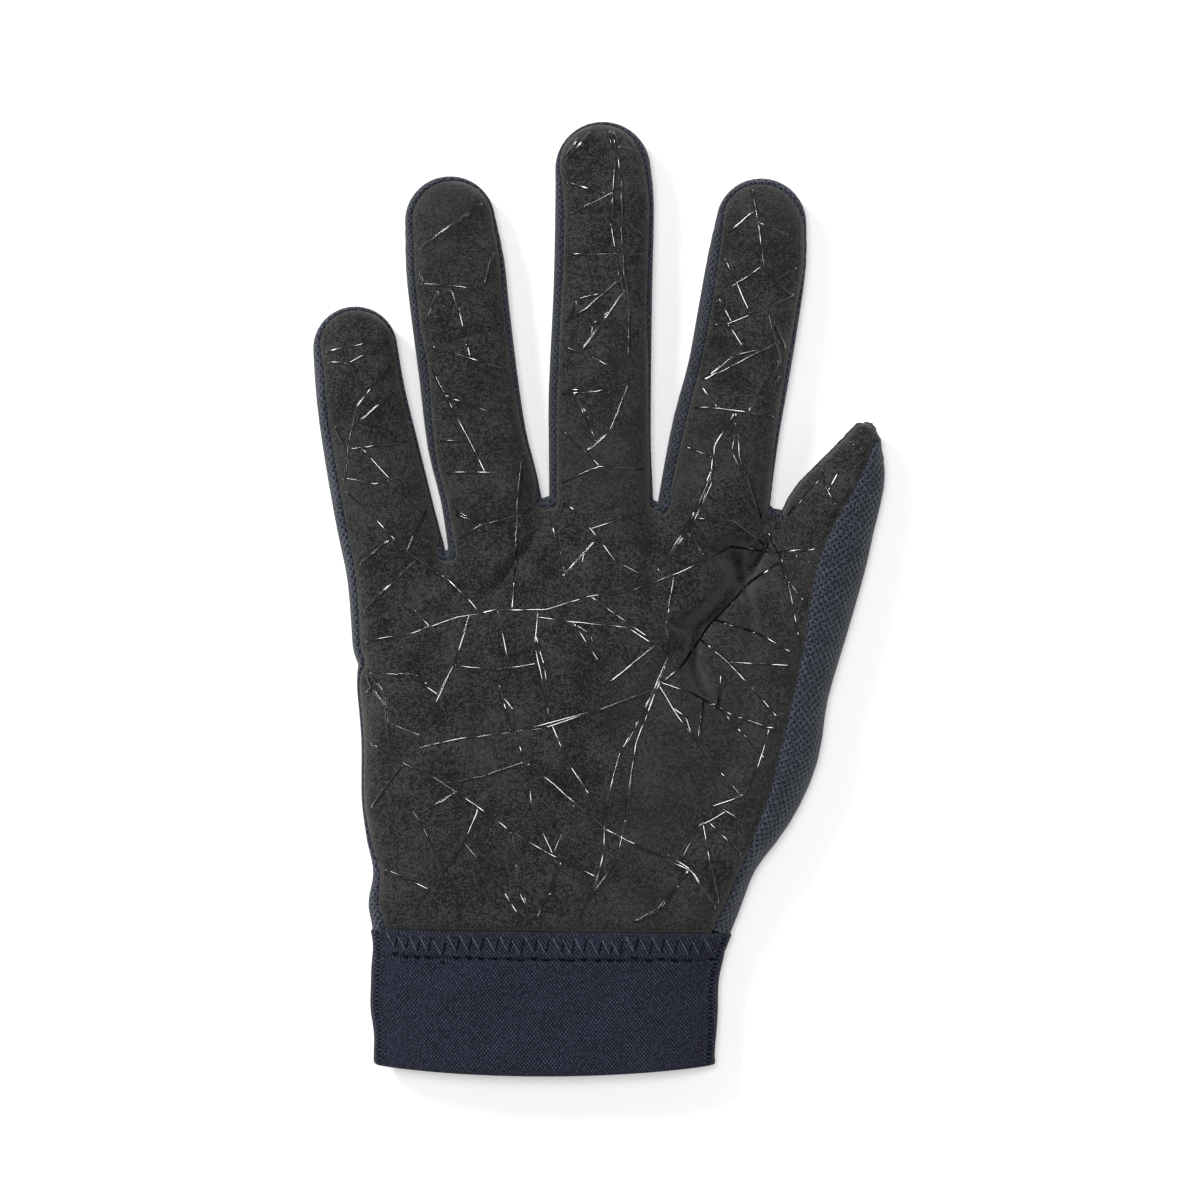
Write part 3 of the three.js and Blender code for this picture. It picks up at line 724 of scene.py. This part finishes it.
# Height of the suede: the palm's, dipping and rounding over within the hem, and tucked down at
# the cuff
def suedeHeight(x, y, edge):
    dip = palm["hemDip"] * np.exp(-((np.maximum(edge, 0) / palm["hemDipWidth"]) ** 2))
    over = np.clip(1 - edge / palm["hemRound"], 0, 1)
    rounded = palm["hemRound"] * (1 - np.sqrt(np.maximum(1 - over**2, 0)))
    fromCuff = np.maximum(y - cuffLine(x), 0)
    tuck = palm["cuffDip"] * np.exp(-((fromCuff / palm["cuffDipWidth"]) ** 1.6))
    return palmHeight(x, y) - dip - rounded - tuck


# The palm: a grid, and rows from its edge out to the suede's edge. Gives back the edge in order.
def makePalm():
    level = lambda x, y: insideSuede(x, y) - palm["hem"]
    x, y, faces, edges = trimmedGrid(level, palm["pitch"], palm["cuffRows"])
    rim = np.unique(edges)
    place = np.zeros(len(x), int)
    place[rim] = np.arange(len(rim))
    inner = rim
    count = len(x)
    rowX, rowY = x[rim], y[rim]
    allX, allY, allFaces = [x], [y], [faces]
    for value in palm["hemRows"]:
        rowX, rowY = ontoLevel(insideSuede, rowX, rowY, value, 3)
        outer = count + np.arange(len(rim))
        a, b = place[edges[:, 0]], place[edges[:, 1]]
        allFaces.append(np.stack([inner[a], outer[a], outer[b], inner[b]], axis=1))
        allX.append(rowX)
        allY.append(rowY)
        inner = outer
        count += len(rim)
    x, y, faces = np.concatenate(allX), np.concatenate(allY), np.concatenate(allFaces)
    edge = np.maximum(insideSuede(x, y), 0)
    points = np.stack([x, y, suedeHeight(x, y, edge)], axis=1)
    worn = {"cutEdge": np.exp(-((edge / palm["wornWidth"]) ** 2))}
    piece = makePiece("palmSuede", points, faces, suedeMaterial, ["palm_panel"], values=worn)
    solidify(piece, palm["thickness"])
    seam = place[inOrder(edges)]
    return rowX[seam], rowY[seam]


seamX, seamY = makePalm()

# Mesh sides and back
sides = {
    "thickness": 0.7,
    "tuck": 0.9,  # the mesh runs this far under the suede
    "groove": 0.95,  # depth of the seam beside the suede
    "grooveWidth": 0.42,
    "puff": 0.35,
    "puffAt": 1.6,  # from the suede
    "puffWidth": 1.2,
    "palmRows": 13,
    "stride": 0.45,  # length of the steps in which rows look for the suede
    "strides": 45,
    "backDepths": (0.12, 0.45, 1.0, 1.7, 2.5, 3.3),
    "backTuck": 4.1,
    "backLift": 0.8,  # rise of a side strip's last row, clear of the back
    "backPitch": 1.25,
    "spacing": 0.5,
    "tipBand": 2.4,  # half the width of back that comes over each fingertip
    "lap": 1.8,  # the side strips run this far on under it
    "lapSunk": 0.25,
    "evenTurns": 12,
    "outlineInset": 1.3,
    "outlinePitch": 0.8,
}


# Height of the mesh on the palm side: the palm's, puffed up, sunk beside and under the suede
def meshHeight(x, y):
    rise = np.sqrt(np.maximum(gloveField(x, y), 0))
    beyond = np.maximum(-insideSuede(x, y), 0)
    sunk = sides["groove"] * np.exp(-((beyond / sides["grooveWidth"]) ** 2))
    puff = sides["puff"] * np.clip(rise / 3, 0, 1)
    puff *= np.exp(-(((beyond - sides["puffAt"]) / sides["puffWidth"]) ** 2))
    return palmHeight(x, y) - sunk + puff


# Directions into the glove at points in order along the outline: the field's slope, averaged
# with the neighbours' so that columns of mesh fan out evenly at a corner
def inwardAt(x, y, turns):
    inward = np.stack(slopeOf(gloveField, x, y), axis=-1)
    inward /= np.linalg.norm(inward, axis=1, keepdims=True)
    for _ in range(turns):
        inward[1:-1] = (inward[:-2] + 2 * inward[1:-1] + inward[2:]) / 4
    return inward / np.linalg.norm(inward, axis=1, keepdims=True)


# Rows of mesh from points on the outline straight in to under the suede
def rowsToSuede(x, y, inward):
    gx, gy = inward.T
    short = lambda away: insideSuede(x + away * gx, np.maximum(y + away * gy, clothEnd(x))) < sides["tuck"]
    near = np.full(len(x), 0.1)
    for _ in range(sides["strides"]):
        near = np.where(short(near) & (near < 20), near + sides["stride"], near)
    far = near
    near = near - sides["stride"]
    for _ in range(5):
        half = (near + far) / 2
        isShort = short(half)
        near, far = np.where(isShort, half, near), np.where(isShort, far, half)
    shares = (1 - np.cos(np.pi * np.linspace(0, 1, sides["palmRows"]) ** 0.85)) / 2
    away = far[:, None] * shares[None, 1:]
    rowX = x[:, None] + away * gx[:, None]
    rowY = np.maximum(y[:, None] + away * gy[:, None], clothEnd(rowX))
    return np.stack([rowX, rowY, meshHeight(rowX, rowY)], axis=-1)


# Height of the back: the widest line less the field's root, flat where it would reach the floor
def backHeight(x, y):
    rise = np.sqrt(np.maximum(gloveField(x, y), 0))
    return np.maximum(skin["widestHeight"] - rise, 0)


# Rows round the back from the outline in, at the stated depths
def rowsToBack(x, y, depths):
    made = []
    for depth in depths:
        x, y = ontoLevel(insideBy, x, y, depth, 4)
        made.append(np.stack([x, y, backHeight(x, y)], axis=-1))
    return np.stack(made, axis=1)


def onOutline(x, y):
    return np.stack([x, y, np.full(np.shape(x), skin["widestHeight"])], axis=-1)


# Length across the rows of each column, from the outline outwards on both sides
def lengthAcross(columns, outlineRow):
    hops = np.linalg.norm(np.diff(columns, axis=1), axis=2)
    length = np.concatenate([np.zeros((len(columns), 1)), np.cumsum(hops, axis=1)], axis=1)
    return length - length[:, outlineRow:outlineRow + 1]


# Number of the side strip at each point, or -1 where the back comes round the edge
def stripAt(x, y, lap=0.0):
    found = np.full(np.shape(x), -1)
    pairs = [("little", "ring"), ("ring", "middle"), ("middle", "index")]
    for number, (left, right) in enumerate(pairs):
        bounds = []
        for name in (left, right):
            table = np.array(fingerRows[name])[::-1][:, [1, 0]]
            bounds.append(atLevel(table, y)[..., 1])
        margin = sides["tipBand"] - lap
        between = (x > bounds[0] + margin) & (x < bounds[1] - margin) & (y > 0)
        found[between] = number
    return found


# The glove's outline in order from cuff to cuff, from the edge of a grid inside it
def findOutline():
    inset = sides["outlineInset"]
    x, y, _, edges = trimmedGrid(lambda x, y: insideBy(x, y) - inset, sides["outlinePitch"])
    chain = inOrder(edges)
    x, y = ontoLevel(insideBy, x[chain], y[chain], 0, 6)
    x, y, _ = respaced(x, y, sides["spacing"])
    x, y = ontoLevel(insideBy, x, y, 0, 3)
    return x, y, lengthAlong(x, y)


outlineX, outlineY, outlineLength = findOutline()
outlineStrip = stripAt(outlineX, outlineY, sides["lap"])
print("outline", round(float(outlineLength[-1])), "mm long")


# A side strip: columns from under the suede, over the outline and round to under the back
def makeStrip(number, name, replaced):
    here = np.flatnonzero(outlineStrip == number)
    x, y = outlineX[here], outlineY[here]
    inward = inwardAt(x, y, sides["evenTurns"])
    sunk = sides["lapSunk"] * (stripAt(x, y, -0.5) != number)
    top = rowsToSuede(x, y, inward)[:, ::-1]
    top[..., 2] -= sunk[:, None]
    back = rowsToBack(x, y, [*sides["backDepths"], sides["backTuck"]])
    back[..., 2] += sunk[:, None]
    back[:, -1, 2] += sides["backLift"]
    middle = onOutline(x + sunk * inward[:, 0], y + sunk * inward[:, 1])
    columns = np.concatenate([top, middle[:, None], back], axis=1)
    across = lengthAcross(columns, top.shape[1])
    faces = gridFaces(*columns.shape[:2])
    along = np.broadcast_to(outlineLength[here][:, None], across.shape)
    uv = np.stack([along, across], axis=-1).reshape(-1, 2)
    columns = columns.reshape(-1, 3)
    piece = makePiece(name, columns, faces, sideShadedMaterial, [replaced], uv=uv[faces.ravel()])
    solidify(piece, sides["thickness"])


makeStrip(0, "fourchetteLittleRing", "fourchette_little_ring")
makeStrip(1, "fourchetteRingMiddle", "fourchette_ring_middle")
makeStrip(2, "fourchetteMiddleIndex", "fourchette_middle_index")


# The back: a grid inside the side strips, and columns from its edge round to the suede where
# there is no strip. Faces are laid as seen from above and then turned over.
def makeBack():
    inset = sides["backDepths"][-1]
    x, y, faces, edges = trimmedGrid(lambda x, y: insideBy(x, y) - inset, sides["backPitch"])
    rim = inOrder(edges)
    depths = list(sides["backDepths"][:-1])[::-1]
    back = rowsToBack(x[rim], y[rim], depths)
    startX, startY = ontoLevel(insideBy, back[:, -1, 0], back[:, -1, 1], 0, 4)
    first = np.stack([x[rim], y[rim], backHeight(x[rim], y[rim])], axis=-1)
    top = rowsToSuede(startX, startY, inwardAt(startX, startY, 3))
    columns = np.concatenate([first[:, None], back, onOutline(startX, startY)[:, None], top], axis=1)
    across = -lengthAcross(columns, 1 + len(depths))
    along = lengthAlong(startX, startY)
    place = np.stack([np.broadcast_to(along[:, None], across.shape), across], axis=-1)
    width = columns.shape[1]
    number = len(x) + np.arange(len(rim) * (width - 1)).reshape(len(rim), width - 1)
    number = np.concatenate([rim[:, None], number], axis=1)
    plain = stripAt(startX, startY) < 0
    kept = plain[:-1] & plain[1:]
    bands, bandUv = (
        np.stack([a[kept][:, :-1], a[kept][:, 1:], b[kept][:, 1:], b[kept][:, :-1]], axis=2)
        for a, b in ((number[:-1], number[1:]), (place[:-1], place[1:]))
    )
    flat = np.stack([x, y], axis=-1)[faces]
    points = np.concatenate([np.stack([x, y, backHeight(x, y)], axis=-1), columns[:, 1:].reshape(-1, 3)])
    faces = np.concatenate([faces, bands.reshape(-1, 4)])[:, ::-1]
    uv = np.concatenate([flat, bandUv.reshape(-1, 4, 2)])[:, ::-1].reshape(-1, 2)
    used, faces = np.unique(faces, return_inverse=True)
    faces = faces.reshape(-1, 4)
    piece = makePiece("backMesh", points[used], faces, meshMaterial, ["back_panel"], uv=uv)
    solidify(piece, sides["thickness"])


makeBack()

# Closed cords: a ring of points round each place on each path, its ends closed with a face
def makeCords(name, paths, radius, material, around=6, taper=0.35):
    paths = np.asarray(paths)
    count, stations = paths.shape[:2]
    ahead = np.gradient(paths, axis=1)
    ahead /= np.linalg.norm(ahead, axis=2, keepdims=True)
    aside = np.cross(np.broadcast_to([0.0, 0.0, 1.0], ahead.shape), ahead)
    aside /= np.linalg.norm(aside, axis=2, keepdims=True)
    above = np.cross(ahead, aside)
    turn = np.linspace(0, 2 * np.pi, around, endpoint=False)
    size = np.full(stations, radius)
    size[[0, -1]] *= taper
    ring = np.cos(turn)[:, None] * aside[:, :, None] + np.sin(turn)[:, None] * above[:, :, None]
    points = paths[:, :, None] + size[None, :, None, None] * ring
    number = np.arange(count * stations * around).reshape(count, stations, around)
    after = np.roll(number, -1, axis=2)
    quads = np.stack([number[:, :-1], after[:, :-1], after[:, 1:], number[:, 1:]], axis=-1).reshape(-1, 4)
    ends = [*number[:, 0, ::-1].tolist(), *number[:, -1].tolist()]
    makePiece(name, points.reshape(-1, 3), [*quads.tolist(), *ends], material)


edgeStitch = {"pitch": 2.1, "length": 1.3, "radius": 0.14, "outside": 0.26, "sunkEnds": 0.5}


# Short threads along the suede's edge, whose ends sink by the fourth power of the way to them
def makeEdgeStitches():
    look = edgeStitch
    x, y, length = respaced(seamX, seamY, 0.3)
    x, y = ontoLevel(insideSuede, x, y, -look["outside"], 3)
    middle = np.arange(look["pitch"], length[-1] - look["pitch"], look["pitch"])
    share = np.linspace(-0.5, 0.5, 7)
    at = middle[:, None] + look["length"] * share
    pathX, pathY = np.interp(at, length, x), np.interp(at, length, y)
    height = meshHeight(pathX, pathY) - look["sunkEnds"] * (2 * share) ** 4
    paths = np.stack([pathX, pathY, height], axis=-1)
    makeCords("edgeStitches", paths, look["radius"], seamThread)


makeEdgeStitches()

# Raised grip lines: a made-up crackle
grip = {
    "seed": 23,
    "cell": 235.0,  # square millimetres, about the area of a cell
    "border": 1.3,  # lines stop this far inside the suede
    "kinkEvery": 11.0,
    "kink": 1.7,
    "step": 0.6,
    "shortest": 4.0,
    "field": (-75.0, -78.5, 72.0, 116.0),  # left, bottom, right, top
    "cellSpread": (0.5, 1.9),
    "turnSpread": 0.75,
    "shiftSpread": 0.16,
    "cutShort": 0.16,  # share of the lines that end early
    "second": 0.4,  # share of the lines with another beside them
    "fromCuff": 2.2,
    # across and up, from one foot over the flat top to the other
    "profile": [(-0.33, -0.15), (-0.31, 0.05), (-0.25, 0.14), (-0.13, 0.18), (0.13, 0.18), (0.25, 0.14),
                (0.31, 0.05), (0.33, -0.15)],
}


# The two parts of a cell on either side of a line through its middle, and where the line cuts it
def splitCell(corners, middle, turn):
    normal = np.array([-np.sin(turn), np.cos(turn)])
    side = (corners - middle) @ normal
    parts, cut = ([], []), []
    for n in range(len(corners)):
        m = (n + 1) % len(corners)
        parts[int(side[n] > 0)].append(corners[n])
        if side[n] * side[m] < 0:
            crossing = corners[n] + (corners[m] - corners[n]) * side[n] / (side[n] - side[m])
            cut.append(crossing)
            parts[0].append(crossing)
            parts[1].append(crossing)
    return [np.array(part) for part in parts], cut


# Cracks: cells are split in two across their longer way until they are small, and some splits
# get a second line beside them
def crackLines(random):
    left, bottom, right, top = grip["field"]
    turnSpread, shiftSpread = grip["turnSpread"], grip["shiftSpread"]
    cells = [np.array([(left, bottom), (right, bottom), (right, top), (left, top)])]
    lines = []
    while cells:
        corners = cells.pop()
        x, y = corners[:, 0], corners[:, 1]
        area = 0.5 * abs(np.dot(x, np.roll(y, -1)) - np.dot(y, np.roll(x, -1)))
        if area < grip["cell"] * random.uniform(*grip["cellSpread"]):
            continue
        spread = np.cov((corners - corners.mean(axis=0)).T)
        longer = np.linalg.eigh(spread)[1][:, 1]
        turn = np.arctan2(longer[1], longer[0]) + np.pi / 2 + random.uniform(-turnSpread, turnSpread)
        middle = corners.mean(axis=0) + random.uniform(-shiftSpread, shiftSpread, 2) * np.sqrt(area)
        parts, cut = splitCell(corners, middle, turn)
        if len(cut) < 2:
            continue
        cells.extend(parts)
        first, last = cut[0], cut[1]
        if random.random() < grip["cutShort"]:
            last = first + (last - first) * random.uniform(0.45, 0.8)
        lines.append((first, last))
        if random.random() < grip["second"]:
            shares = random.uniform([0.05, 0.45], [0.35, 0.95])
            start, end = (first + (last - first) * share for share in shares)
            aside = np.array([first[1] - last[1], last[0] - first[0]]) * random.uniform(-0.14, 0.14)
            lines.append((start, (start + end) / 2 + aside))
            lines.append(((start + end) / 2 + aside, end))
    return lines


# Straight lengths with kinks: points every so often are shifted by a soft unevenness
def kinked(line):
    first, last = np.array(line[0]), np.array(line[1])
    length = np.linalg.norm(last - first)
    shares = np.linspace(0, 1, max(2, round(length / grip["kinkEvery"]) + 1))
    x, y = (first + (last - first) * shares[:, None]).T
    x, y = x + grip["kink"] * waves(x, y, 31, 34), y + grip["kink"] * waves(x, y, 32, 34)
    return respaced(x, y, grip["step"])[:2]


# A ridge over each stretch of line that lies on the suede: the profile carried along it, thinner
# towards its ends
def makeGripLines():
    random = np.random.default_rng(grip["seed"])
    profile = np.array(grip["profile"])
    paths = [kinked(line) for line in crackLines(random)]
    x, y = (np.concatenate([path[n] for path in paths]) for n in (0, 1))
    path = np.repeat(np.arange(len(paths)), [len(path[0]) for path in paths])
    inside = (insideSuede(x, y) > grip["border"]) & (y > cuffLine(x) + grip["fromCuff"])
    goesOn = inside[:-1] & inside[1:] & (path[:-1] == path[1:])
    starts = np.flatnonzero(inside & ~np.concatenate([[False], goesOn]))
    stops = np.flatnonzero(inside & ~np.concatenate([goesOn, [False]])) + 1
    rings, faces, count = [], [], 0
    for start, stop in zip(starts, stops):
        stations = stop - start
        if stations * grip["step"] < grip["shortest"]:
            continue
        runX, runY = x[start:stop], y[start:stop]
        aheadX, aheadY = np.gradient(runX), np.gradient(runY)
        size = np.hypot(aheadX, aheadY)
        fromEnd = np.minimum(np.arange(stations), np.arange(stations)[::-1]) * grip["step"]
        swell = np.clip(0.45 + fromEnd / 1.2, 0, 1) * (1 + 0.14 * waves(runX, runY, 41, 9))
        across = profile[:, 0] * swell[:, None]
        lift = profile[:, 1] * swell[:, None]
        ringX = runX[:, None] - across * (aheadY / size)[:, None]
        ringY = runY[:, None] + across * (aheadX / size)[:, None]
        rings.append(np.stack([ringX, ringY, lift], axis=-1).reshape(-1, 3))
        number = count + np.arange(stations * len(profile)).reshape(stations, -1)
        quads, ends = ringFaces(number)
        faces += quads.tolist() + ends
        count += number.size
    points = np.concatenate(rings)
    points[:, 2] += palmHeight(points[:, 0], points[:, 1])
    makePiece("gripLines", points, faces, siliconeMaterial)


makeGripLines()

# The knit cuff, in two halves
cuff = {
    "wall": 2.0,
    "gap": 0.15,  # from the suede's end
    "hemY": -112.0,
    "hemSag": 2.2,
    "sideSeam": 19.0,  # degrees up from the widest line
    "roll": 0.4,  # rise of the rolled edge beside each side seam
    "rollWidth": 0.55,
    "flatness": 0.8,
    "columns": 190,
    "endCloseness": 0.8,  # columns lie closer together towards the side seams
    "rowSpacing": (0.3, 0.8),  # in the band and below it
    "band": 6.4,  # depth of the zigzag band below the top edge
    "bandRaise": 0.16,
    "bandEdge": 0.25,
    "ripple": 0.09,
    "rippleReach": 2.2,
    "groove": 0.7,
    "grooveBelow": 0.3,  # the band
    "grooveWidth": 0.45,
    "unevenness": 0.14,
    "seamDip": 0.9,
    "seamDipWidth": 0.5,
    "edgeFade": 1.5,  # relief fades this near the top edge and the hem
    "seamGap": 0.05,  # degrees
    "lengthRow": 20,  # lengths for the weave are measured along this row
    "lengthColumn": 60,  # and down this column
    "calmEdge": 14,  # power by which the band's relief dies away towards both side edges
}


# A place on the cuff's wall from a turn round it, a distance below its top edge and a depth into
# the wall: a flat-topped arch across, and rows between the top edge and the sagging hem
def cuffPlace(turn, below, depth):
    cosine, sine = np.cos(turn), np.sin(turn)
    across = np.sign(cosine) * np.abs(cosine) ** cuff["flatness"]
    up = np.sign(sine) * np.sqrt(np.maximum(1 - np.abs(across) ** skin["palmSquareness"], 0))
    t = 1 - below / cuffHeight()
    left, right, rise = sectionAt(cuff["hemY"] + cuffHeight() * t)
    x = (left + right) / 2 + ((right - left) / 2 + skin["cuffProud"] - depth) * across
    hem = cuff["hemY"] + cuff["hemSag"] * across**2
    y = hem + (cuffLine(x) - cuff["gap"] - hem) * t
    z = skin["widestHeight"] + (rise + skin["cuffProud"] - depth) * up
    return np.stack([x, y, np.maximum(z, np.maximum(depth, 0))], axis=-1)


# From the hem to the seam with the palm
def cuffHeight():
    return skin["cuffSeamY"] - cuff["hemY"]


# The wall's outline cut along the arm: down the outside, round the hem and up the inside, with
# rounded ends
def cuffProfile():
    wall, height = cuff["wall"], cuffHeight()
    turn = np.linspace(0, np.pi / 2, 6)
    half = wall / 2
    fine, coarse = cuff["rowSpacing"]
    bandEnd = cuff["band"] + 2
    hemStart = height - half
    rows = [np.arange(half, bandEnd, fine), np.arange(bandEnd, hemStart - coarse / 2, coarse), [hemStart]]
    down = np.concatenate(rows)
    short, long = half * (1 - np.cos(turn)), half * (1 - np.sin(turn))
    below = np.concatenate([short[:-1], down, (height - long)[1:]])
    depth = np.concatenate([long[:-1], np.zeros(len(down)), short[1:]])
    inside = slice(-2, 0, -1)
    return np.concatenate([below, below[inside]]), np.concatenate([depth, wall - depth[inside]])


# Relief of the cuff's outside: a raised band below its top edge, a groove and ripples where the
# band ends, which die away towards the side edges, and unevenness all over
def cuffRelief(x, y, below):
    left, right, _ = sectionAt(y)
    across = np.clip(np.abs(2 * x - left - right) / (right - left), 0, 1)
    fromBand = below - cuff["band"]
    raised = cuff["bandRaise"] / (1 + np.exp(fromBand / cuff["bandEdge"]))
    ripple = cuff["ripple"] * np.sin(2 * np.pi * x / zigzag["pitch"])
    ripple *= np.exp(-((fromBand / cuff["rippleReach"]) ** 2))
    groove = cuff["groove"] * np.exp(-(((fromBand - cuff["grooveBelow"]) / cuff["grooveWidth"]) ** 2))
    calm = 1 - across ** cuff["calmEdge"]
    return (raised + ripple - groove) * calm + cuff["unevenness"] * waves(x, y, 9, 13)


zigzag = {
    "span": (-50.5, 27.0),
    "pitch": 3.0,
    "top": 1.1,
    "bottom": 5.0,
    "radius": 0.15,
    "lean": 2.1,
    "sunkEnds": 0.25,
    "seed": 3,
    "spread": 0.3,
    "footLength": 1.3,
    "footBelow": 0.9,
    "footBow": 0.5,
    "footRadius": 0.27,
}


# Half the cuff: the wall's outline carried round from one side seam to the other, less the relief
def makeCuffHalf(name, replaced, fromTurn, toTurn):
    below, depth = cuffProfile()
    evenly = np.linspace(0, 1, cuff["columns"])
    closer = evenly - cuff["endCloseness"] * np.sin(2 * np.pi * evenly) / (2 * np.pi)
    turn = np.radians(fromTurn + (toTurn - fromTurn) * closer)[:, None]
    flat = cuffPlace(turn, below[None], depth[None])
    outside = np.broadcast_to(depth < cuff["wall"] / 2, flat.shape[:2])
    hops = np.linalg.norm(np.diff(flat[:, cuff["lengthRow"]], axis=0), axis=1)
    along = np.concatenate([[0], np.cumsum(hops)])
    toSeam = np.minimum(along, along[-1] - along)[:, None]
    roll = cuff["roll"] * np.exp(-(((toSeam - 1.5 * cuff["rollWidth"]) / cuff["rollWidth"]) ** 2))
    dip = cuff["seamDip"] * np.exp(-((toSeam / cuff["seamDipWidth"]) ** 2))
    relief = cuffRelief(flat[..., 0], flat[..., 1], below[None]) + roll - dip
    fade = np.clip(np.minimum(below, cuffHeight() - below) / cuff["edgeFade"], 0, 1)[None]
    points = cuffPlace(turn, below[None], depth[None] - np.where(outside, relief * fade, 0))
    number = np.arange(points.shape[0] * points.shape[1]).reshape(points.shape[:2])
    quads, ends = ringFaces(number)
    column = flat[cuff["lengthColumn"]]
    down = np.concatenate([[0], np.cumsum(np.linalg.norm(np.diff(column, axis=0), axis=1))])
    last = down[-1] + np.linalg.norm(column[0] - column[-1])
    uv = np.stack(np.broadcast_arrays(along[:, None], down), axis=-1)
    quadUv = uv.reshape(-1, 2)[quads].reshape(*number[:-1].shape, 4, 2)
    quadUv[:, -1, 2:, 1] = last
    uv = np.concatenate([quadUv.reshape(-1, 2), flat[0, :, 1:], flat[-1, ::-1, 1:]])
    faces = [*quads.tolist(), *ends]
    makePiece(name, points.reshape(-1, 3), faces, cuffMaterial, [replaced], uv=uv)


seamTurn, seamGap = cuff["sideSeam"], cuff["seamGap"]
makeCuffHalf("cuffPalmKnit", "cuff_palm", seamTurn + seamGap, 180 - seamTurn - seamGap)
makeCuffHalf("cuffBackKnit", "cuff_back", 180 - seamTurn + seamGap, 360 + seamTurn - seamGap)


# Points over the cuff's palm side, from places across and distances below its top edge
def onCuff(x, below, raised):
    y = cuffLine(x) - cuff["gap"] - below
    return np.stack([x, y, cuffTop(x, y) + cuffRelief(x, y, below) + raised], axis=-1)


# Zigzag threads: light strokes, dark returns between them, and near-black cords at their feet as painted
# shade of the needle holes
def makeZigzag():
    look = zigzag
    share = np.linspace(0, 1, 9)
    left = np.arange(*look["span"], look["pitch"])
    random = np.random.default_rng(look["seed"])
    shift = random.normal(0, look["spread"], (len(left), 2))
    ways = [("cuffZigzag", look["lean"], 0.06, zigzagThread),
            ("cuffZigzagReturns", look["lean"] - look["pitch"], 0.0, returnThreadAndHoleShade)]
    for name, lean, raised, thread in ways:
        startX = left + shift[:, 0] + (look["pitch"] if lean < 0 else 0)
        x = startX[:, None] + lean * share
        below = look["top"] + (look["bottom"] - look["top"]) * share + shift[:, 1:]
        lift = raised + 0.1 * np.sin(np.pi * share) - look["sunkEnds"] * (2 * share - 1) ** 6
        makeCords(name, onCuff(x, below, lift), look["radius"], thread)
    # Near-black cords at the stitches' feet: painted shade of the needle holes
    x = (left + look["lean"] + shift[:, 0])[:, None] + look["footLength"] * (share - 0.5)
    below = look["bottom"] + look["footBelow"] + look["footBow"] * np.sin(np.pi * share) + shift[:, 1:]
    feet = onCuff(x, below, 0.08 - 0.3 * (2 * share - 1) ** 2)
    makeCords("cuffNeedleHoleShade", feet, look["footRadius"], returnThreadAndHoleShade)


makeZigzag()

# Floor, lights and camera, in metres and watts
stage = {
    "lensHeight": 1.4,
    "frameWidth": 0.282,
    "sensor": 36,
    "frameCentre": (0.000235, -0.00047),
    "floor": (0.9, 0.9, 0.9, 1),
    "floorDrop": 0.0002,  # metres below the glove, so that the two never share a plane
    "floorGlow": 0.35,  # a light table, so that shadows stay faint
    "floorHalf": 4,
    "skyStrength": 0.22,
}

# Name, place, size and power of each light
lights = [
    ("key", (-0.95, 0.85, 1.0), (0.35, 0.35), 17),
    ("top", (-0.12, 0.18, 1.8), (0.55, 0.45), 16),
    ("fill", (1.1, -0.4, 1.2), (0.9, 0.9), 2.0),
]


def makeFloor():
    mesh = bpy.data.meshes.new("floor")
    half, drop = stage["floorHalf"], -stage["floorDrop"]
    corners = [(-half, -half, drop), (half, -half, drop), (half, half, drop), (-half, half, drop)]
    mesh.from_pydata(corners, [], [(0, 1, 2, 3)])
    material, _, shader = newMaterial("floorPaper", 0.9)
    shader.inputs["Base Color"].default_value = stage["floor"]
    shader.inputs["Emission Color"].default_value = stage["floor"]
    shader.inputs["Emission Strength"].default_value = stage["floorGlow"]
    mesh.materials.append(material)
    floor = bpy.data.objects.new("floor", mesh)
    scene.collection.objects.link(floor)


def makeLight(name, place, size, power):
    light = bpy.data.lights.new(name, "AREA")
    light.shape = "RECTANGLE"
    light.size, light.size_y = size
    light.energy = power
    lamp = bpy.data.objects.new(name, light)
    scene.collection.objects.link(lamp)
    lamp.location = place
    direction = -lamp.location
    lamp.rotation_euler = direction.to_track_quat("-Z", "Y").to_euler()


def makeStage():
    makeFloor()
    world = bpy.data.worlds.new("studio")
    scene.world = world
    world.use_nodes = True
    background = world.node_tree.nodes["Background"]
    background.inputs["Color"].default_value = (1, 1, 1, 1)
    background.inputs["Strength"].default_value = stage["skyStrength"]
    scene.view_settings.view_transform = "Standard"
    for light in lights:
        makeLight(*light)
    camera = bpy.data.cameras.new("camera")
    camera.sensor_width = stage["sensor"]
    camera.lens = stage["sensor"] * stage["lensHeight"] / stage["frameWidth"]
    view = bpy.data.objects.new("camera", camera)
    scene.collection.objects.link(view)
    height = stage["lensHeight"] + skin["widestHeight"] / 1000
    view.location = (*stage["frameCentre"], height)
    scene.camera = view


makeStage()
print("stage made")
